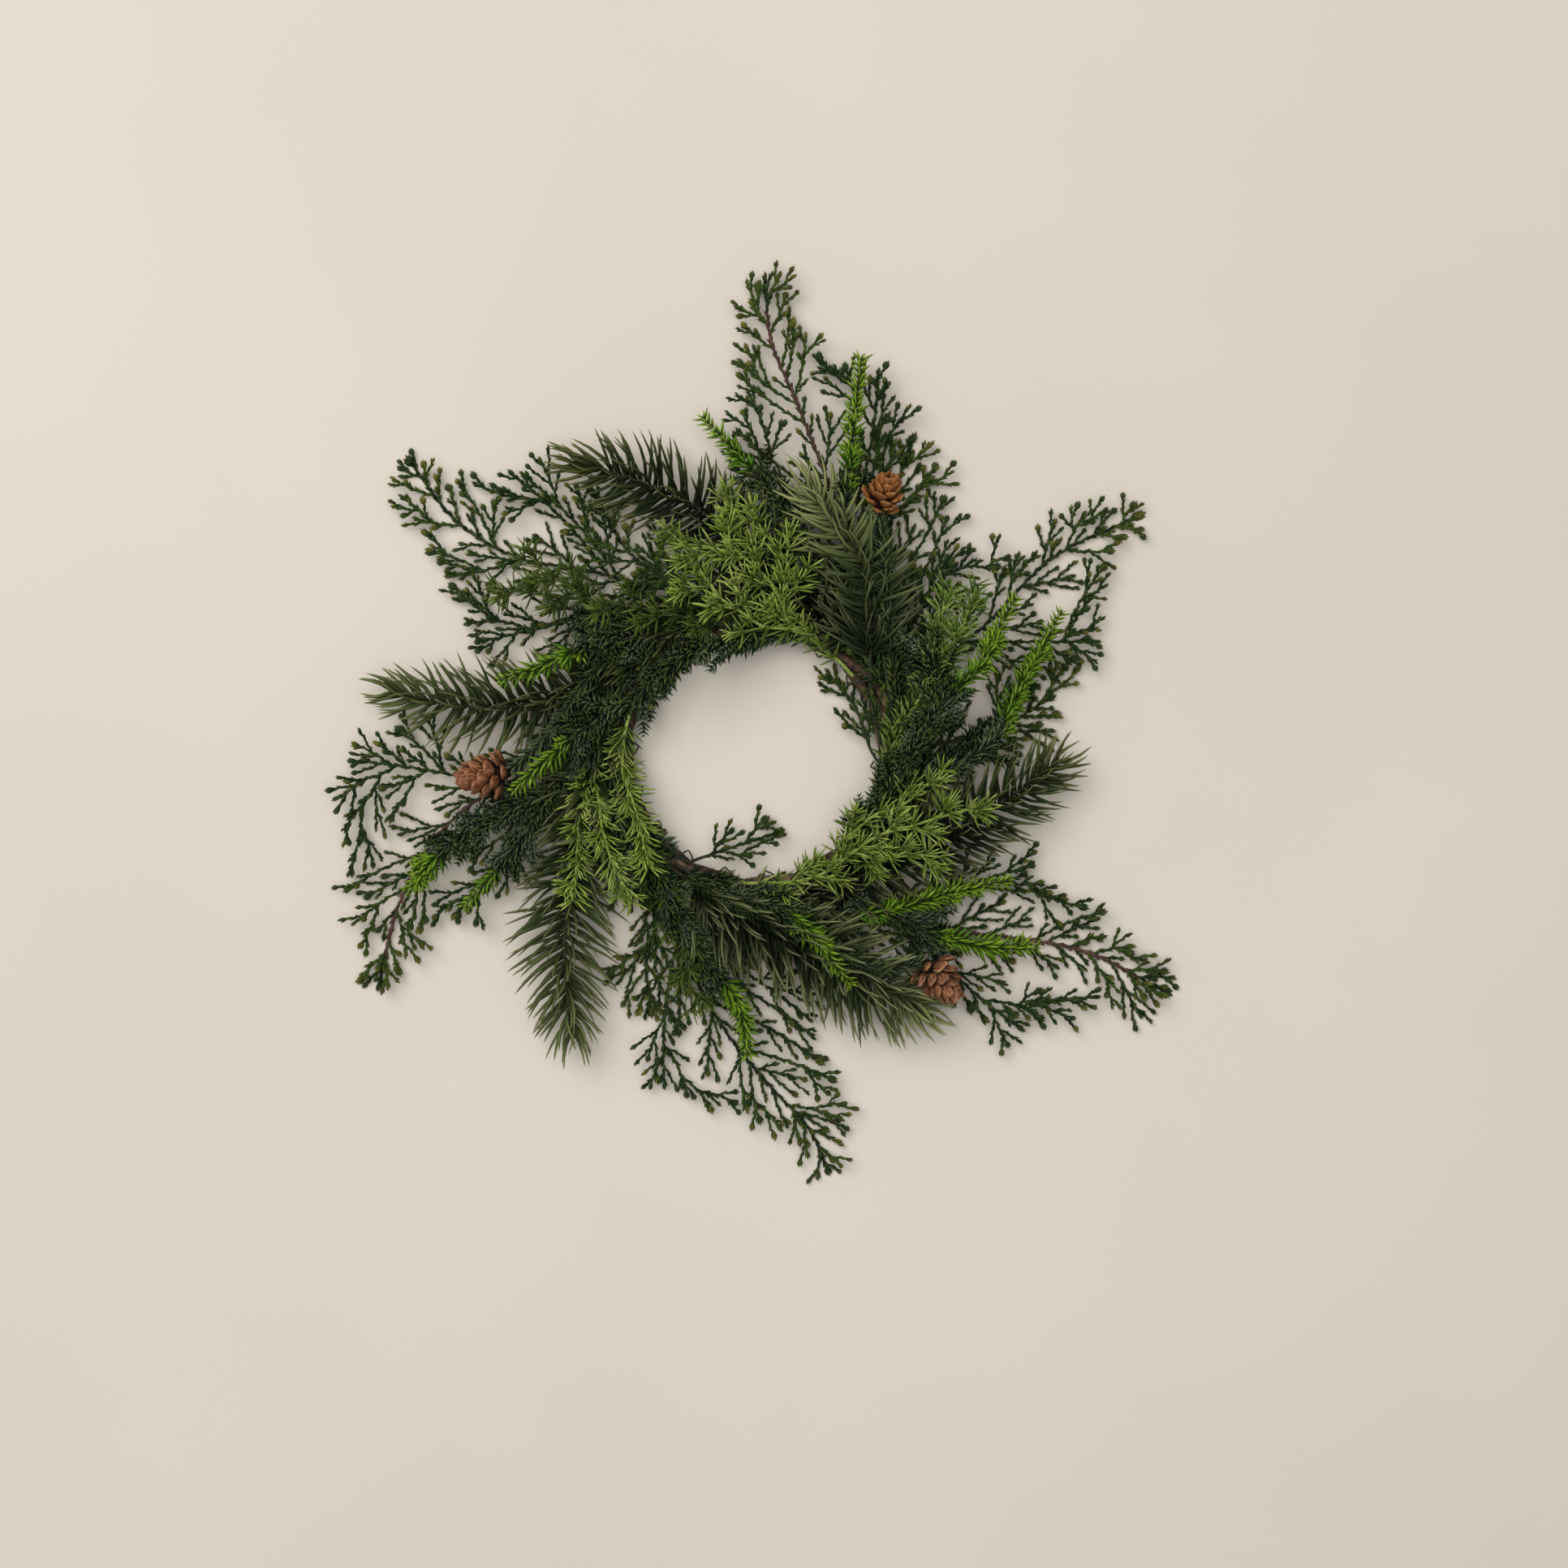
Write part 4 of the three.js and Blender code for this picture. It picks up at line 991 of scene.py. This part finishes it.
def coneFinish(name, look):
    # ribs run along each scale, which is painted dark at its base as shade between the scales, and painted pale at
    # its rim as a highlight
    material, start, shader = newFinish(name, 0.3)
    light = {part: seen(look[part]) for part in ("main", "edge", "deep")}
    blade, tone, across = (start.attribute(layer) for layer in ("blade", "tone", "across"))
    along = start.node("CombineXYZ", {}, {"X": across * 3.2 + tone * 40, "Y": blade * 1.1, "Z": tone * 17})
    ribs, grain = start.noise(2.2, 4.0, 0.6, along), start.noise(700, 4, 0.6)
    # painted shade: each scale dark at its foot, between the scales
    colour = blade.between(0.35, 0.85).mixed(light["deep"], light["main"])
    # pale and dark streaks along the ribs, a painted highlight at the rim, and darker scales and grain at random
    for mask, part in ((ribs.between(0.5, 0.6) * blade.between(0.35, 0.7) * 0.6, "edge"),
                       (ribs.between(0.5, 0.4) * 0.6, "deep"), (blade.between(0.86, 1.0) * 0.5, "edge"),
                       (tone.between(0.4, 0.0) * 0.3, "deep"), (grain.between(0.55, 0.7) * 0.25, "deep")):
        colour = mask.mixed(colour, light[part])
    connect(start, shader, colour, (grain * 0.2 + 0.5).clamped(), ribs + grain * 0.3, 0.8, 0.0006)
    return material


def growCone(grown, cone, dice):
    stem = stemOf(cone, pineCone["tipHeight"])
    drawStem(grown, stem, pineCone["twigRadius"], pineCone["twigRadius"])
    share, run = 0.08, lengthOf(stem)
    while share < 0.97:
        # short dark needles clothe its twig
        point, forward = placeOn(stem, share)
        share += pineCone["needleStep"] / run
        girth = dice.uniform(0.9, 1.3)
        press(grown, twigWhorl, point, forward, dice.random(), 0.35 * share,
              girth, girth * 0.8, girth, dice.uniform(-0.6, 0.6))
    base, axis, size = stem[-1], Vector(cone["axis"]).normalized(), cone["size"]
    press(grown, coneCore, base, axis, 0.0, 0.3, size, size, size)
    across = axis.cross(up).normalized()
    beside = axis.cross(across)
    for n in range(pineCone["scales"]):
        share = n / (pineCone["scales"] - 1)
        around = math.radians(pineCone["goldenTurn"] * n)
        outwards = across * math.cos(around) + beside * math.sin(around)
        opened = pineCone["openAngle"] - pineCone["closing"] * share**0.9
        angle = math.radians(opened * cone["spread"] * dice.uniform(0.93, 1.07))
        direction = axis * math.cos(angle) + outwards * math.sin(angle)
        point = base + axis * size * (1.0 + pineCone["coreLength"] * share) + outwards * 0.8
        reach = size * (0.92 - 0.16 * share**2) * (pineCone["baseScale"] if share < 0.12 else 1)
        press(grown, dice.choice(coneScales), point, direction, dice.random(), share,
              reach * dice.uniform(0.8, 1.08), reach, reach * dice.uniform(0.9, 1.08),
              math.radians(dice.uniform(-14, 14)), axis)
    return cone["finishes"]


for where, cone in pineCones.items():
    cone["finishes"] = [coneFinish(f"pine_cone_{where}_scale", cone)] + coneTwig
growAll("pine_cone_", pineCones, growCone, "cone", "_cone")

# The ring: three vines twisted together, and the wire that binds the sprigs to it.
# endGap: the degrees between a vine's two ends
vines = dict(
    radius=2.7, gap=0.6, twists=5, endGap=3, steps=260, knots=0.16, sides=14, ridges=0.55,
    bark=dict(
        grain=420, dark=(32, 23, 16), main=(74, 56, 38), pale=(142, 122, 92), scuffs=0.8, roughness=0.55, bump=0.9),
)
# snug on the bare ring, loose where it goes over the sprigs, which lie round looseLane
wire = dict(
    radius=0.4, turns=18, steps=468, colour=(28, 34, 22), rust=(44, 34, 26), sides=8, snug=7.46, loose=10.36,
    startLane=200, looseLane=52, roughness=0.35,
)


def tubeThrough(name, points, radius, sides):
    # a curve with round ends, made a mesh
    data = bpy.data.curves.new(name, "CURVE")
    data.dimensions = "3D"
    data.bevel_depth, data.bevel_resolution, data.use_fill_caps = radius, sides // 2 - 1, True
    spline = data.splines.new("POLY")
    spline.points.add(len(points) - 1)
    for spot, point in zip(spline.points, points):
        spot.co = (*point, 1)
    curve = place(name, data)
    mesh = bpy.data.meshes.new_from_object(curve.evaluated_get(bpy.context.evaluated_depsgraph_get()))
    bpy.data.objects.remove(curve)
    bm = bmesh.new()
    bm.from_mesh(mesh)
    bpy.data.meshes.remove(mesh)
    bmesh.ops.remove_doubles(bm, verts=bm.verts, dist=1e-4)
    bmesh.ops.recalc_face_normals(bm, faces=bm.faces)
    for face in bm.faces:
        face.smooth = True
    return bm


def makeVine(number, finish):
    phase = 120 * number
    twistRadius = (2 * vines["radius"] + vines["gap"]) / math.sqrt(3)  # three side by side
    points = []
    for n in range(vines["steps"] + 1):
        degrees = phase + vines["endGap"] / 2 + (360 - vines["endGap"]) * n / vines["steps"]
        points.append(roundTheRing(degrees, phase + vines["twists"] * degrees, twistRadius))
    bm = tubeThrough("vine", points, vines["radius"], vines["sides"])
    bm.normal_update()
    for vert in bm.verts:
        # ridges along the bark, knots here and there
        ridge = noise.noise(vert.co * vines["ridges"] + Vector((7 * number, 0, 0)))
        vert.co += vert.normal * (ridge * vines["knots"] - 0.1)
    finishPiece(bm, f"vine_{number + 1}", [finish], "_bark")


def makeWire():
    points = []
    for n in range(wire["steps"] + 1):
        t = n / wire["steps"]
        lane = wire["startLane"] + 360 * wire["turns"] * t
        over = min(1, max(0, (turned(lane - wire["looseLane"])[0] + 0.7) / 0.75))
        over = over * over * (3 - 2 * over)
        reach = wire["snug"] + (wire["loose"] - wire["snug"]) * over
        points.append(roundTheRing(t * (360 - vines["endGap"]), lane, reach))
    material, start, shader = newFinish("florist_wire", 0.5)
    worn = start.noise(300, 4)
    colour = worn.between(0.45, 0.7).mixed(*lit(wire, "colour", "rust"))
    connect(start, shader, colour, (worn * 0.3 + wire["roughness"]).clamped())
    shader.inputs["Metallic"].default_value = 0.3
    bm = tubeThrough("wire", points, wire["radius"], wire["sides"])
    finishPiece(bm, "binding_wire", [material], "_wound")


vineBark = barkFinish("vine_bark", vines["bark"])
for number in range(3):
    makeVine(number, vineBark)
makeWire()
print("ring and wire made")
